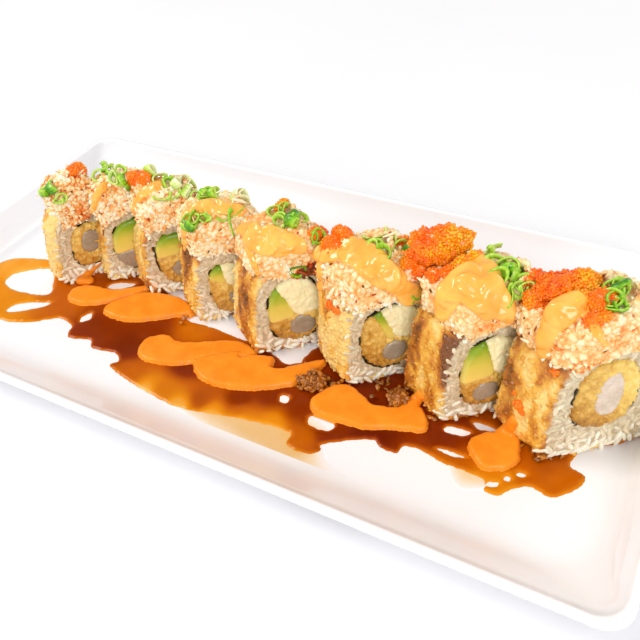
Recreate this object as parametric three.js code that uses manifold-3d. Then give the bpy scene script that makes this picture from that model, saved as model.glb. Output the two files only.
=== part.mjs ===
// Sliced shrimp tempura roll on a rectangular plate, with its sauces and toppings.
// Millimetres, +Z up. The origin is the middle of the plate's underside and +X runs along its long side.

import * as THREE from "three";
import { mergeVertices } from "three/addons/utils/BufferGeometryUtils.js";
import Module from "manifold-3d";

const wasm = await Module();
wasm.setup();

// Plate
const PLATE_LENGTH = 300;
const PLATE_WIDTH = 156.5;
const PLATE_HEIGHT = 21;
const PLATE_FLOOR = 6;
const FLOOR_LENGTH = 274;
const FLOOR_WIDTH = 113;
const FOOT_LENGTH = 256;
const FOOT_WIDTH = 106;
const LIP_WIDTH = 3.2;
const LIP_DEPTH = 3;
const LIP_ROUND = 0.8;
const RIM_RADIUS = 9;
const FLOOR_RADIUS = 16;
const FOOT_RADIUS = 17;
const CORNER_STEPS = 4;

// Rounded rectangles up the plate's outside, over its lip and down to its floor.
// Each row is length, width, corner radius and height.
const PLATE_RINGS = [
  [FOOT_LENGTH, FOOT_WIDTH, FOOT_RADIUS, 0],
  [FOOT_LENGTH + 5, FOOT_WIDTH + 5, FOOT_RADIUS + 1, 1.4],
  [PLATE_LENGTH - 3, PLATE_WIDTH - 3, RIM_RADIUS, PLATE_HEIGHT - LIP_DEPTH - 0.6],
  [PLATE_LENGTH, PLATE_WIDTH, RIM_RADIUS, PLATE_HEIGHT - LIP_DEPTH + 0.6],
  [PLATE_LENGTH, PLATE_WIDTH, RIM_RADIUS, PLATE_HEIGHT - LIP_ROUND],
  [PLATE_LENGTH - 2 * LIP_ROUND, PLATE_WIDTH - 2 * LIP_ROUND, RIM_RADIUS, PLATE_HEIGHT],
  [PLATE_LENGTH - 2 * LIP_WIDTH, PLATE_WIDTH - 2 * LIP_WIDTH, RIM_RADIUS - 1, PLATE_HEIGHT - 0.4],
  [FLOOR_LENGTH + 7, FLOOR_WIDTH + 9, FLOOR_RADIUS + 1, PLATE_FLOOR + 1.5],
  [FLOOR_LENGTH - 2, FLOOR_WIDTH - 2, FLOOR_RADIUS, PLATE_FLOOR],
];

// Clearances shared by the food. Cutting shapes reach past what they cut.
const GAP = 0.35;
const BODY_CLEARANCE = 0.3;
const CUT_PAST = 2;
const FOOD_FLOOR = PLATE_FLOOR + GAP;

// Rice and seaweed of a slice. The body's edges are rounded over a length, its middle swells a little.
const CRUMB_RELIEF = 0.6;
const EDGE_LENGTH = 1.6;
const EDGE_ROUND = 1.4;
const BODY_PUFF = 0.3;
const TOP_PUFF = 0.18;
const SECTION_POWER = 3.2;
const FOOT_POWER = 7;
const SECTION_STEPS = 20;
const CUTTER_STEPS = 14;
const NORI_THICKNESS = 0.9;
const NORI_BACK = 0.1;
const RING_POWER = 2.5;
const RING_STEPS = 16;
const RING_WOBBLES = [0.03, 0.025];

// Fillings. They stand a little proud of the cut and their ends are rounded.
const FILLING_PROUD = 0.3;
const SHRIMP_PROUD = 0.4;
const BATTER_PROUD = 0.1;
const END_LENGTH = 0.7;
const END_ROUND = 0.45;
const SHORT_EDGE = 1.2;
const CHUNK_CORNER = 0.12;
const AVOCADO_CORNER = 0.1;
const SHRIMP_STEPS = 12;
const SHRIMP_WOBBLES = [0.05, 0.04];

// Sauces
const POOL_HEIGHT = 0.9;
const POOL_STEPS = 11;
const POOL_LONG_STEPS = 18;
const PATCH_STEPS = 8;
const POOL_CONTACT = 0.9;
const PUDDLE_STEPS = 10;
const PUDDLE_LEVELS = [[0.95, 0], [1, 0.4], [0.72, 1]];
const MAYO_BASE = FOOD_FLOOR + POOL_HEIGHT + GAP;

// Toppings: mounds of crab salad. Levels run from 0 at the mound's lower edge to 1 at its top.
// Bulges say how far the mound leans over to the next slice at each level.
const MOUND_RISE = 11.5;
const MOUND_FLUSH = 0.8;
const MOUND_FACE = 2.9;
const MOUND_SIDE_DROP = 8;
const MOUND_SIDE_POWER = 4;
const MOUND_LEVELS = [0, 0.22, 0.46, 0.7, 0.9, 1];
const MOUND_BULGES = [0, 0, 0.2, 1, 0.9, 0.3];
const MOUND_STEPS = 13;
const MOUND_POWER = 6;
const MOUND_TOP = 0.6;
const MOUND_NOISE = 0.9;
const MOUND_HEIGHT_NOISE = 0.6;
const MOUND_FACE_NOISE = 0.36;
const MOUND_SKIRT = 2;
const DOME_START = 0.5;
const DOME_SPAN = 0.52;
const DOME_POWER = 2.4;
const BACK_ROOM = 0.9;
const LAST_REACH = 2.6;
const LEAN_SHORT = 0.3;
const ROE_ROOM = 1.3;

// Pieces fused to the mounds
const LUMP_NOISE = 0.1;
const ONION_THICKNESS = 0.34;
const ONION_SECTION = 4;
const ONION_STEPS = 7;

// Half size of the boxes that cut along a plane, and where each kind's noise starts
const FAR = 400;
const SEEDS = { relief: 7, mound: 31, mounds: 5, lump: 10, roe: 70, crumbs: 90 };

// Colour and roughness of each kind of piece
const LOOKS = {
  plate: { color: 0xf4f3f2, roughness: 0.18 },
  pool: { color: 0x7a2f06, roughness: 0.2 },
  mayo: { color: 0xf08d1f, roughness: 0.45 },
  rice: { color: 0xe6c891, roughness: 0.8 },
  nori: { color: 0x23261c, roughness: 0.55 },
  cream: { color: 0xf3d9a2, roughness: 0.6 },
  avocado: { color: 0x9fae28, roughness: 0.45 },
  batter: { color: 0xb98a3c, roughness: 0.75 },
  shrimp: { color: 0x94867a, roughness: 0.4 },
  topping: { color: 0xf0a566, roughness: 0.6 },
  roe: { color: 0xf46a12, roughness: 0.35 },
  crumbs: { color: 0x6b4a22, roughness: 0.7 },
};

// Place, turn and size of each slice, from the far left of the row to its near right end.
// x, y: middle of the slice. turn: its cut face, turned from +X towards -Y. bias: slant of the cut.
// thick: along the cut's normal. low, high: half widths at the plate and at the top. tall: rice only.
// mound: half width of the topping. drop: how far it hangs down over the cut face.
// ring: height, sideways shift, half width and half height of the seaweed ring.
const SLICES = [
  {
    x: -92, y: -1.2, turn: 30, bias: 8, thick: 11, low: 18.5, high: 13, tall: 36,
    mound: 10.5, drop: 6.2, ring: [16, 0, 9, 11],
  },
  {
    x: -70.3, y: 7, turn: 44, bias: 10, thick: 9.5, low: 17.5, high: 13, tall: 37,
    mound: 14, drop: 4.5, ring: [16.5, -0.5, 10.5, 13.5],
  },
  {
    x: -48.9, y: 7.1, turn: 50, bias: 14, thick: 14.5, low: 18.5, high: 12.5, tall: 37,
    mound: 12.5, drop: 3.8, ring: [16.5, 0, 10.5, 14],
  },
  {
    x: -20, y: 3.2, turn: 50, bias: 14, thick: 17.5, low: 19.5, high: 14, tall: 38,
    mound: 14.5, drop: 5.5, ring: [14.8, -1.5, 10.5, 12.5],
  },
  {
    x: 10.6, y: -2.6, turn: 48, bias: 14, thick: 19, low: 20.5, high: 15, tall: 41,
    mound: 14, drop: 4, ring: [19, -1.5, 11, 15],
  },
  {
    x: 47.2, y: -3.5, turn: 46, bias: 14, thick: 20, low: 19, high: 15, tall: 42,
    mound: 16.2, drop: 3, ring: [20, 0, 11.5, 14.5],
  },
  {
    x: 85.4, y: -4.8, turn: 48, bias: 16, thick: 20, low: 21.5, high: 17, tall: 45,
    mound: 16, drop: 1.8, ring: [20.8, -2, 11.5, 16],
  },
  {
    x: 120, y: -6.3, turn: 50, bias: 20, thick: 20.5, low: 22, high: 18, tall: 48,
    mound: 19, drop: 2.8, ring: [26.5, -2, 10.8, 15.5],
  },
];

// What fills each ring, in millimetres from the ring's centre (across, up).
// split: the line height = split[0] + split[1] * across. Above it lie avocado and pale chunk.
// left: the line across = left[0] + left[1] * height, where they end on their left, if before the ring.
// wedge: the line across = wedge[0] + wedge[1] * height, avocado on its left, pale chunk on its right.
// shrimp: across, up, half width and half height of the meat inside its batter.
// plainShrimp: meat without batter fills all below the split.
const FILLINGS = [
  { shrimp: [0.4, 1.6, 4.4, 5.4] },
  { split: [-1.5, 0.1], plainShrimp: true },
  { split: [3.0, 0.1], shrimp: [0.4, -4.6, 5.2, 4.0] },
  { split: [1.5, -0.5], wedge: [-2.4, -0.1], shrimp: [1.0, -4.4, 3.9, 3.3] },
  { split: [-2.6, 0.15], wedge: [-0.9, -0.42], shrimp: [2.0, -7.4, 5.2, 4.2] },
  { split: [-0.6, -0.1], left: [-1.4, -0.42], wedge: [1.3, -0.4], shrimp: [1.0, -6.6, 4.6, 4.3] },
  { split: [-1.6, 0.12], wedge: [0.6, -0.28], shrimp: [-2.0, -8.4, 4.3, 4.2] },
  { shrimp: [0.6, 0.4, 4.0, 9.8] },
];

// Sauce pool: overlapping ovals x, y, half length, half width, turn; then bare patches of plate in it.
const POOL_OVALS = [
  [-114, -21, 18, 13, 25],
  [-99, -33, 18, 8, 30],
  [-80, -24, 17, 15, 0],
  [-64, -27, 16, 14, 0],
  [-48, -29, 16, 14, 0],
  [-31, -34, 17, 17, 0],
  [-11, -35, 19, 18.5, 0],
  [9, -34, 18, 17, 0],
  [29, -31, 17, 16, 0],
  [42, -44, 8, 9, 0],
  [51, -29, 17, 13, 0],
  [71, -27, 16, 12, 0],
  [91, -25, 16, 12, 0],
  [104, -33, 9, 8.5, 0],
  [117, -27, 11, 8.5, 30],
  [18, -17, 104, 9, -2],
];
const POOL_PATCHES = [
  [-112, -20, 11, 6, 25],
  [-101, -33, 9, 2.4, 38],
  [-73, -30, 3, 1.8, 45],
  [-72, -6, 5, 2.2, 30],
  [25, -34.5, 1.8, 1.4, 0],
  [43, -39, 5, 2.4, 0],
];

// Spicy mayonnaise puddles: ovals x, y, half length, half width, turn, height.
const PUDDLES = [
  [[-79.5, -19.3, 10, 5.2, 12, 2.2], [-68, -12.6, 9, 3.4, 38, 1.8], [-82, -13.4, 4.6, 3.2, 60, 5.5]],
  [[-54.5, -17, 13.6, 8.4, 14, 2.3], [-41.5, -12.6, 8.6, 4, 24, 1.9]],
  [
    [-28.5, -32.5, 11.6, 6.6, 12, 2.2],
    [-10, -25.5, 13, 4.8, 22, 2],
    [2.5, -32, 16.5, 7.4, 8, 2.4],
    [20.5, -25, 10.5, 4.2, 46, 2.2],
    [6.5, -24.2, 8, 4.4, 10, 2.1],
  ],
  [[46, -29.6, 11.4, 7.6, 0, 2.6], [62, -29.4, 15.4, 5.4, 10, 2.4], [71.3, -20.5, 7.4, 3, 86, 5.2]],
  [[99, -27.6, 9.8, 7, 4, 2.4], [102.4, -17.5, 7, 2.7, 82, 5]],
];

// Pieces fused to each topping: kind, across the thickness, sideways, above the rice, then half sizes.
// An onion is a ring of scallion: its radius and its tilt in radians.
const LUMPS = [
  [["roe", 0, 3, 10, 4.5, 5, 3], ["onion", 1, -2, 11.2, 3.4, 0.5], ["onion", 3, -8.4, 6.4, 3.4, 1.3]],
  [["onion", 1, -2, 11.4, 3.4, 0.4], ["roe", 1, 6.6, 9, 3.4, 5, 3]],
  [["onion", 3, 3, 11.6, 3.6, 0.4], ["onion", 2, 7, 9.6, 3.4, 0.8], ["roe", -2, 6, 9, 4, 5, 3]],
  [["onion", 3, -6, 10.6, 3.6, 0.6], ["onion", 3, 5.6, 10.8, 4.2, 0.9], ["mayo", 4, 2, 9, 5, 8, 3]],
  [["onion", -3, 4, 11.6, 4, 0.5], ["mayo", 3, -6, 8.4, 6, 6, 3.4], ["mayo", 6, 2, 8, 4, 9, 3]],
  [["onion", 2, 2, 12, 4, 0.6], ["mayo", 5, -3, 8.6, 5, 7, 3.2], ["onion", 10.6, 5, 7.4, 3, 1.1]],
  [["mayo", 4, -3, 8.8, 7, 8, 3.4], ["mayo", 2, -12.4, 3, 4, 4, 6], ["onion", 6, 5, 11.8, 4.2, 0.5]],
  [["mayo", 1, -9, 8.4, 6, 7, 3.4], ["mayo", 0, -16.4, 1, 3.4, 3.4, 7], ["onion", 3, 4, 11.6, 4.2, 0.5]],
];

// Heaps of orange roe that stand clear of the toppings: slice, across, sideways, above the rice, half sizes.
const ROE_HEAPS = [
  { slice: 6, at: [-13.9, -5.8, 12.5], size: [8, 11.5, 6.5] },
  { slice: 7, at: [-6, -6, 10], size: [7, 12, 5] },
];

// Clumps of sauce-soaked crumbs on the plate: x, y, half length, half width, height.
const CRUMB_CLUMPS = [
  [32.6, -24.5, 5.6, 4.4, 4.6],
  [62.5, -19.4, 4.6, 3.6, 3.6],
];

/**
 * Repeatable noise between -1 and 1.
 * @param {number} seed  where the sequence starts
 * @returns {function(): number} the next value at each call
 */
function makeNoise(seed) {
  let state = (seed * 2654435761) >>> 0;
  return () => {
    state = (Math.imul(state, 1664525) + 1013904223) >>> 0;
    return (state / 4294967296) * 2 - 1;
  };
}

const radians = THREE.MathUtils.degToRad;

/** Signed power that keeps the sign of its base, for rounded rectangles. */
function signedPower(value, power) {
  return Math.sign(value) * Math.abs(value) ** power;
}

/** Unit point of a rounded square at an angle: power 2 is a circle, more is squarer. */
function roundedPoint(angle, power) {
  return [signedPower(Math.cos(angle), 2 / power), signedPower(Math.sin(angle), 2 / power)];
}

/** Volume enclosed by an indexed geometry, negative when its faces look inward. */
function signedVolume(positions, index) {
  const a = new THREE.Vector3();
  const b = new THREE.Vector3();
  const c = new THREE.Vector3();
  let sum = 0;
  for (let i = 0; i < index.length; i += 3) {
    a.fromArray(positions, index[i] * 3);
    b.fromArray(positions, index[i + 1] * 3);
    c.fromArray(positions, index[i + 2] * 3);
    sum += a.dot(b.cross(c));
  }
  return sum / 6;
}

/**
 * Closed solid through a stack of rings that all have the same number of points.
 * @param {number[][][]} rings  points [x, y, z] of each ring
 * @returns {THREE.BufferGeometry} indexed, closed and facing outward
 */
function loft(rings) {
  const count = rings[0].length;
  const positions = rings.flat(2);
  const index = [];
  for (let r = 0; r + 1 < rings.length; r += 1) {
    for (let i = 0; i < count; i += 1) {
      const a = r * count + i;
      const b = r * count + ((i + 1) % count);
      index.push(a, b, b + count, a, b + count, a + count);
    }
  }
  const ends = [
    { ring: rings[0], base: 0, first: true },
    { ring: rings[rings.length - 1], base: (rings.length - 1) * count, first: false },
  ];
  for (const end of ends) {
    const middle = [0, 1, 2].map((axis) => end.ring.reduce((sum, p) => sum + p[axis], 0) / count);
    const centre = positions.length / 3;
    positions.push(...middle);
    for (let i = 0; i < count; i += 1) {
      const a = end.base + i;
      const b = end.base + ((i + 1) % count);
      if (end.first) index.push(centre, b, a);
      else index.push(centre, a, b);
    }
  }
  if (signedVolume(positions, index) < 0) {
    for (let i = 0; i < index.length; i += 3) {
      [index[i + 1], index[i + 2]] = [index[i + 2], index[i + 1]];
    }
  }
  const geometry = new THREE.BufferGeometry();
  geometry.setAttribute("position", new THREE.Float32BufferAttribute(positions, 3));
  geometry.setIndex(index);
  return geometry;
}

/** Closed solid for joins and cuts, from a closed three.js geometry. */
function solidOf(geometry) {
  const bare = geometry.clone();
  bare.deleteAttribute("normal");
  bare.deleteAttribute("uv");
  const merged = mergeVertices(bare, 1e-4);
  const vertProperties = new Float32Array(merged.attributes.position.array);
  const triVerts = new Uint32Array(merged.index.array);
  return new wasm.Manifold(new wasm.Mesh({ numProp: 3, vertProperties, triVerts }));
}

/** Triangles of the largest connected body, so that chips cut loose are dropped. */
function largestBody(positions, index) {
  const parent = Array.from({ length: positions.length / 3 }, (_, i) => i);
  const rootOf = (i) => {
    let at = i;
    while (parent[at] !== at) at = parent[at];
    parent[i] = at;
    return at;
  };
  for (let i = 0; i < index.length; i += 3) {
    parent[rootOf(index[i])] = rootOf(index[i + 1]);
    parent[rootOf(index[i + 1])] = rootOf(index[i + 2]);
  }
  const bodies = new Map();
  for (let i = 0; i < index.length; i += 3) {
    const root = rootOf(index[i]);
    if (!bodies.has(root)) bodies.set(root, []);
    bodies.get(root).push(index[i], index[i + 1], index[i + 2]);
  }
  const volumes = [...bodies.values()].map((faces) => [signedVolume(positions, faces), faces]);
  return volumes.reduce((best, entry) => (entry[0] > best[0] ? entry : best))[1];
}

/** three.js geometry of a joined or cut solid. */
function geometryOf(solid) {
  const mesh = solid.getMesh();
  const geometry = new THREE.BufferGeometry();
  geometry.setAttribute("position", new THREE.Float32BufferAttribute(mesh.vertProperties, 3));
  geometry.setIndex(largestBody(mesh.vertProperties, Array.from(mesh.triVerts)));
  return mergeVertices(geometry, 1e-5);
}

/** Named mesh with its own material. */
function makeMesh(name, geometry, look) {
  geometry.computeVertexNormals();
  const material = new THREE.MeshStandardMaterial({ metalness: 0, flatShading: true, ...look });
  const mesh = new THREE.Mesh(geometry, material);
  mesh.name = name;
  return mesh;
}

/** Points of a rounded rectangle at one height. */
function plateRing(length, width, radius, z) {
  const points = [];
  const corners = [[1, 1, 0], [-1, 1, 90], [-1, -1, 180], [1, -1, 270]];
  for (const [sx, sy, start] of corners) {
    for (let i = 0; i <= CORNER_STEPS; i += 1) {
      const angle = radians(start + (90 * i) / CORNER_STEPS);
      const x = sx * (length / 2 - radius) + radius * Math.cos(angle);
      const y = sy * (width / 2 - radius) + radius * Math.sin(angle);
      points.push([x, y, z]);
    }
  }
  return points;
}

/** Plate with a flat foot, a flat floor, sloping sides and a thin rounded lip. */
function buildPlate() {
  return makeMesh("plate", loft(PLATE_RINGS.map((ring) => plateRing(...ring))), LOOKS.plate);
}

/** Half width of a slice at a height given from -1 at the plate to 1 at the top. */
function halfWidth(slice, level) {
  return (slice.low + slice.high) / 2 - ((slice.low - slice.high) / 2) * level;
}

/** Sideways shift of a slice's section at a distance from its middle, from the slanted cut. */
function slant(slice, across) {
  return across * Math.tan(radians(slice.bias));
}

/** Placement of a slice on the plate. Its own +X is the normal of its cut face. */
function placement(slice) {
  const matrix = new THREE.Matrix4().makeRotationZ(-radians(slice.turn));
  return matrix.setPosition(slice.x, slice.y, FOOD_FLOOR);
}

/**
 * Outer body of a slice without its ring.
 * @param {object} slice  row of SLICES
 * @param {number} grow   extra size on every side, for cutting its neighbours
 * @param {number} relief depth of the crumb relief on its side
 * @param {number} seed   start of the relief's noise
 * @param {number} steps  points round its section
 * @returns {THREE.BufferGeometry} in the slice's own frame
 */
function sliceBody(slice, grow, relief, seed, steps) {
  const noise = makeNoise(seed);
  const half = slice.thick / 2 + grow;
  const middle = relief > 0 ? [[0, BODY_PUFF]] : [];
  const inner = half - EDGE_LENGTH;
  const stations = [[-half, -EDGE_ROUND], [-inner, 0], ...middle, [inner, 0], [half, -EDGE_ROUND]];
  const rings = stations.map(([across, puff]) => {
    const points = [];
    for (let i = 0; i < steps; i += 1) {
      const angle = (i / steps) * Math.PI * 2;
      const [side, level] = roundedPoint(angle, Math.sin(angle) < 0 ? FOOT_POWER : SECTION_POWER);
      const rough = relief * noise();
      const reach = halfWidth(slice, level) + grow + puff + rough;
      const rise = slice.tall / 2 + grow + (puff * TOP_PUFF) / BODY_PUFF + rough * (level > 0 ? 1 : 0);
      const low = level < 0 ? slice.tall / 2 + grow : rise;
      const z = slice.tall / 2 + level * (level < 0 ? low : rise);
      points.push([across, side * reach + slant(slice, across), z]);
    }
    return points;
  });
  return loft(rings);
}

/** Unevenness of a hand-made outline at an angle, 1 on average. */
function uneven([twice, thrice], angle, seed) {
  return 1 + twice * Math.sin(2 * angle + seed) + thrice * Math.sin(3 * angle + 2 * seed);
}

/** Outline of the seaweed ring at an offset inward, a little uneven like a hand-rolled one. */
function ringOutline(slice, inward, seed) {
  const [up, shift, wide, high] = slice.ring;
  const points = [];
  for (let i = 0; i < RING_STEPS; i += 1) {
    const angle = (i / RING_STEPS) * Math.PI * 2;
    const [side, level] = roundedPoint(angle, RING_POWER);
    const wobble = uneven(RING_WOBBLES, angle, seed);
    points.push([side * (wide * wobble - inward) + shift, level * (high * wobble - inward) + up]);
  }
  return points;
}

/**
 * Prism through the whole slice with a given outline in its cut face.
 * @param {object} slice      row of SLICES
 * @param {number[][]} outline points (sideways, up)
 * @param {number} half       half of its length
 * @param {number} soften     how much the outline shrinks at its ends
 */
function throughPrism(slice, outline, half, soften) {
  const count = outline.length;
  const middle = [0, 1].map((axis) => outline.reduce((sum, p) => sum + p[axis], 0) / count);
  const inner = half - END_LENGTH;
  const rounded = [[-half, soften], [-inner, 0], [inner, 0], [half, soften]];
  const stations = soften ? rounded : [[-half, 0], [half, 0]];
  const rings = stations.map(([across, shrink]) => outline.map(([side, up]) => {
    const reach = Math.hypot(side - middle[0], up - middle[1]) || 1;
    const scale = (reach - shrink) / reach;
    const y = middle[0] + (side - middle[0]) * scale + slant(slice, across);
    return [across, y, middle[1] + (up - middle[1]) * scale];
  }));
  return loft(rings);
}

/** Part of an outline on one side of a line: points with across * a + up * b <= c are kept. */
function clipOutline(outline, a, b, c) {
  const kept = [];
  outline.forEach((point, i) => {
    const next = outline[(i + 1) % outline.length];
    const here = point[0] * a + point[1] * b - c;
    const there = next[0] * a + next[1] * b - c;
    if (here <= 0) kept.push(point);
    if (here * there < 0) {
      const t = here / (here - there);
      kept.push([point[0] + (next[0] - point[0]) * t, point[1] + (next[1] - point[1]) * t]);
    }
  });
  return kept;
}

/** Outline with its sharp corners cut once, each edge keeping its middle part. */
function soften(outline, cut) {
  return outline.flatMap((point, i) => {
    const next = outline[(i + 1) % outline.length];
    if (Math.hypot(next[0] - point[0], next[1] - point[1]) < SHORT_EDGE) return [point];
    const at = (t) => [point[0] + (next[0] - point[0]) * t, point[1] + (next[1] - point[1]) * t];
    return [at(cut), at(1 - cut)];
  });
}

/** Oval outline in a cut face. */
function ovalOutline(side, up, wide, high, steps, seed) {
  const points = [];
  for (let i = 0; i < steps; i += 1) {
    const angle = (i / steps) * Math.PI * 2;
    const wobble = uneven(SHRIMP_WOBBLES, angle, seed);
    points.push([side + wide * wobble * Math.cos(angle), up + high * wobble * Math.sin(angle)]);
  }
  return points;
}

/**
 * Part of a ring's inside that holds avocado and pale chunk.
 * @param {number[][]} outline  outline that the lines cut
 * @param {object} slice        row of SLICES
 * @param {object} fill         row of FILLINGS
 * @param {number} inset        clearance kept to each line, or below zero to reach past it
 */
function upperOutline(outline, slice, fill, inset) {
  const [up, shift] = slice.ring;
  const [height, slope] = fill.split;
  const level = up + height - slope * shift;
  let kept = clipOutline(outline, slope, -1, -level - inset * Math.hypot(slope, 1));
  if (fill.left) {
    const [place, lean] = fill.left;
    kept = clipOutline(kept, -1, lean, lean * up - shift - place - inset * Math.hypot(lean, 1));
  }
  return kept;
}

/** Meshes of the fillings of one slice: avocado, pale chunk, batter and shrimp. */
function buildFillings(slice, fill, number) {
  const bound = ringOutline(slice, NORI_THICKNESS + GAP, number);
  const [up, shift] = slice.ring;
  const half = slice.thick / 2;
  const meshes = [];
  const add = (name, outline, proud, look) => {
    const geometry = throughPrism(slice, outline, half + proud, END_ROUND);
    meshes.push(makeMesh(`${name}_${number}`, geometry, look));
  };
  let lower = solidOf(throughPrism(slice, bound, half + BATTER_PROUD, END_ROUND));
  if (fill.split) {
    let avocado = upperOutline(bound, slice, fill, GAP / 2);
    const past = upperOutline(ringOutline(slice, -CUT_PAST, number), slice, fill, -GAP / 2);
    lower = lower.subtract(solidOf(throughPrism(slice, past, half + CUT_PAST, 0)));
    if (fill.wedge) {
      const [place, lean] = fill.wedge;
      const line = shift + place - lean * up;
      const wedgeGap = (GAP / 2) * Math.hypot(lean, 1);
      const chunk = clipOutline(avocado, -1, lean, -line - wedgeGap);
      avocado = clipOutline(avocado, 1, -lean, line - wedgeGap);
      add("cream", soften(chunk, CHUNK_CORNER), FILLING_PROUD, LOOKS.cream);
    }
    add("avocado", soften(avocado, AVOCADO_CORNER), FILLING_PROUD, LOOKS.avocado);
  }
  if (fill.plainShrimp) {
    meshes.push(makeMesh(`shrimp_${number}`, geometryOf(lower), LOOKS.shrimp));
    return meshes;
  }
  const [side, rise, wide, high] = fill.shrimp;
  const meat = ovalOutline(shift + side, up + rise, wide, high, SHRIMP_STEPS, number);
  const hole = ovalOutline(shift + side, up + rise, wide + GAP, high + GAP, SHRIMP_STEPS, number);
  const bore = solidOf(throughPrism(slice, hole, half + CUT_PAST, 0));
  meshes.push(makeMesh(`batter_${number}`, geometryOf(lower.subtract(bore)), LOOKS.batter));
  add("shrimp", meat, SHRIMP_PROUD, LOOKS.shrimp);
  return meshes;
}

/** Rice ring with the crumb coat on its side, bored through for the seaweed. */
function buildRice(slice, number) {
  const body = sliceBody(slice, 0, CRUMB_RELIEF, number * SEEDS.relief, SECTION_STEPS);
  const bore = throughPrism(slice, ringOutline(slice, -GAP, number), slice.thick / 2 + CUT_PAST, 0);
  const solid = solidOf(body).subtract(solidOf(bore));
  return makeMesh(`rice_${number}`, geometryOf(solid), LOOKS.rice);
}

/** Seaweed tube between the rice and the fillings. */
function buildNori(slice, number) {
  const half = slice.thick / 2 - NORI_BACK;
  const outer = solidOf(throughPrism(slice, ringOutline(slice, 0, number), half, 0));
  const inner = solidOf(throughPrism(slice, ringOutline(slice, NORI_THICKNESS, number), half + CUT_PAST, 0));
  return makeMesh(`nori_${number}`, geometryOf(outer.subtract(inner)), LOOKS.nori);
}

/** Large box that stands on one side of a plane square to a horizontal normal. */
function halfSpace(point, turn, side) {
  const box = new THREE.BoxGeometry(FAR, FAR, FAR);
  box.translate((side * FAR) / 2, 0, 0);
  box.rotateZ(-radians(turn));
  box.translate(point[0], point[1], 0);
  return solidOf(box);
}

/** Plane just behind a slice's back face, where the topping before it ends. */
function backPlane(slice) {
  const reach = slice.thick / 2 + BACK_ROOM;
  const angle = -radians(slice.turn);
  return [slice.x - reach * Math.cos(angle), slice.y - reach * Math.sin(angle)];
}

/** Distance from the middle of a slice to the back plane of the next one, along its own normal. */
function frontReach(index) {
  const slice = SLICES[index];
  const next = SLICES[index + 1];
  if (!next) return slice.thick / 2 + LAST_REACH;
  const point = backPlane(next);
  const angle = -radians(slice.turn);
  return (point[0] - slice.x) * Math.cos(angle) + (point[1] - slice.y) * Math.sin(angle);
}

/** Small ball of uneven size, for the lumps that are fused on. */
function lump(size, place, seed) {
  const noise = makeNoise(seed);
  const ball = new THREE.IcosahedronGeometry(1, 1);
  ball.deleteAttribute("normal");
  ball.deleteAttribute("uv");
  const merged = mergeVertices(ball, 1e-4);
  const spots = merged.attributes.position;
  for (let i = 0; i < spots.count; i += 1) {
    const scale = 1 + LUMP_NOISE * noise();
    spots.setXYZ(i, spots.getX(i) * scale, spots.getY(i) * scale, spots.getZ(i) * scale);
  }
  merged.scale(...size);
  merged.translate(...place);
  return merged;
}

/** Scallion ring lying on its topping, tilted a little. */
function onionRing([wide, tilt], place) {
  const ring = new THREE.TorusGeometry(wide, wide * ONION_THICKNESS, ONION_SECTION, ONION_STEPS);
  ring.rotateX(tilt);
  ring.translate(...place);
  return ring;
}

/**
 * Uneven mound of crab salad before it is fitted over the rice, in the slice's own frame.
 * Its lower edge hangs a little over the cut face and more over the sides of the roll.
 * Its upper part leans over to the next slice.
 * @param {number} index which slice, from 0
 * @param {number} grow  extra size on every side, for cutting the mound before it
 * @returns {THREE.BufferGeometry} in the slice's own frame
 */
function moundGeometry(index, grow) {
  const slice = SLICES[index];
  const noise = makeNoise(index * SEEDS.mound + SEEDS.mounds);
  const back = slice.thick / 2 + MOUND_FLUSH + grow;
  const face = slice.thick / 2 + MOUND_FACE + grow;
  const lean = frontReach(index) - LEAN_SHORT + grow - face;
  const rings = MOUND_LEVELS.map((level, l) => {
    const dome = Math.sqrt(1 - Math.max(0, (level - DOME_START) / DOME_SPAN) ** DOME_POWER);
    const front = face + lean * MOUND_BULGES[l];
    const narrow = MOUND_TOP + (1 - MOUND_TOP) * dome;
    const points = [];
    for (let i = 0; i < MOUND_STEPS; i += 1) {
      const angle = (i / MOUND_STEPS) * Math.PI * 2;
      const [ahead, side] = roundedPoint(angle, MOUND_POWER);
      const rough = noise();
      const reachAhead = ((front + back) / 2) * narrow + MOUND_FACE_NOISE * rough * dome;
      const across = ((front - back) / 2) * narrow + ahead * reachAhead;
      const reachSide = slice.mound * dome + MOUND_NOISE * rough + grow;
      const edge = l === 0 ? MOUND_SKIRT * Math.sin(angle * 3 + index) : MOUND_HEIGHT_NOISE * noise();
      const hang = slice.drop + (MOUND_SIDE_DROP - slice.drop) * Math.abs(side) ** MOUND_SIDE_POWER + grow;
      const z = slice.tall - hang + (hang + MOUND_RISE + grow) * level + edge;
      points.push([across, side * reachSide + slant(slice, across), z]);
    }
    return points;
  });
  return loft(rings);
}

/** Roe heap as a solid on the plate, grown for cutting the topping beneath it. */
function roeHeap(heap, grow, seed) {
  const slice = SLICES[heap.slice];
  const [across, side, above] = heap.at;
  const size = heap.size.map((s) => s + grow);
  const place = [across, side + slant(slice, across), slice.tall + above];
  return solidOf(lump(size, place, seed).applyMatrix4(placement(slice)));
}

/** Half of space on one side of a slice's back plane, which is first moved along the row. */
function pastBack(slice, move, side) {
  const [x, y] = backPlane(slice);
  const angle = -radians(slice.turn);
  return halfSpace([x + move * Math.cos(angle), y + move * Math.sin(angle)], slice.turn, side);
}

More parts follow.
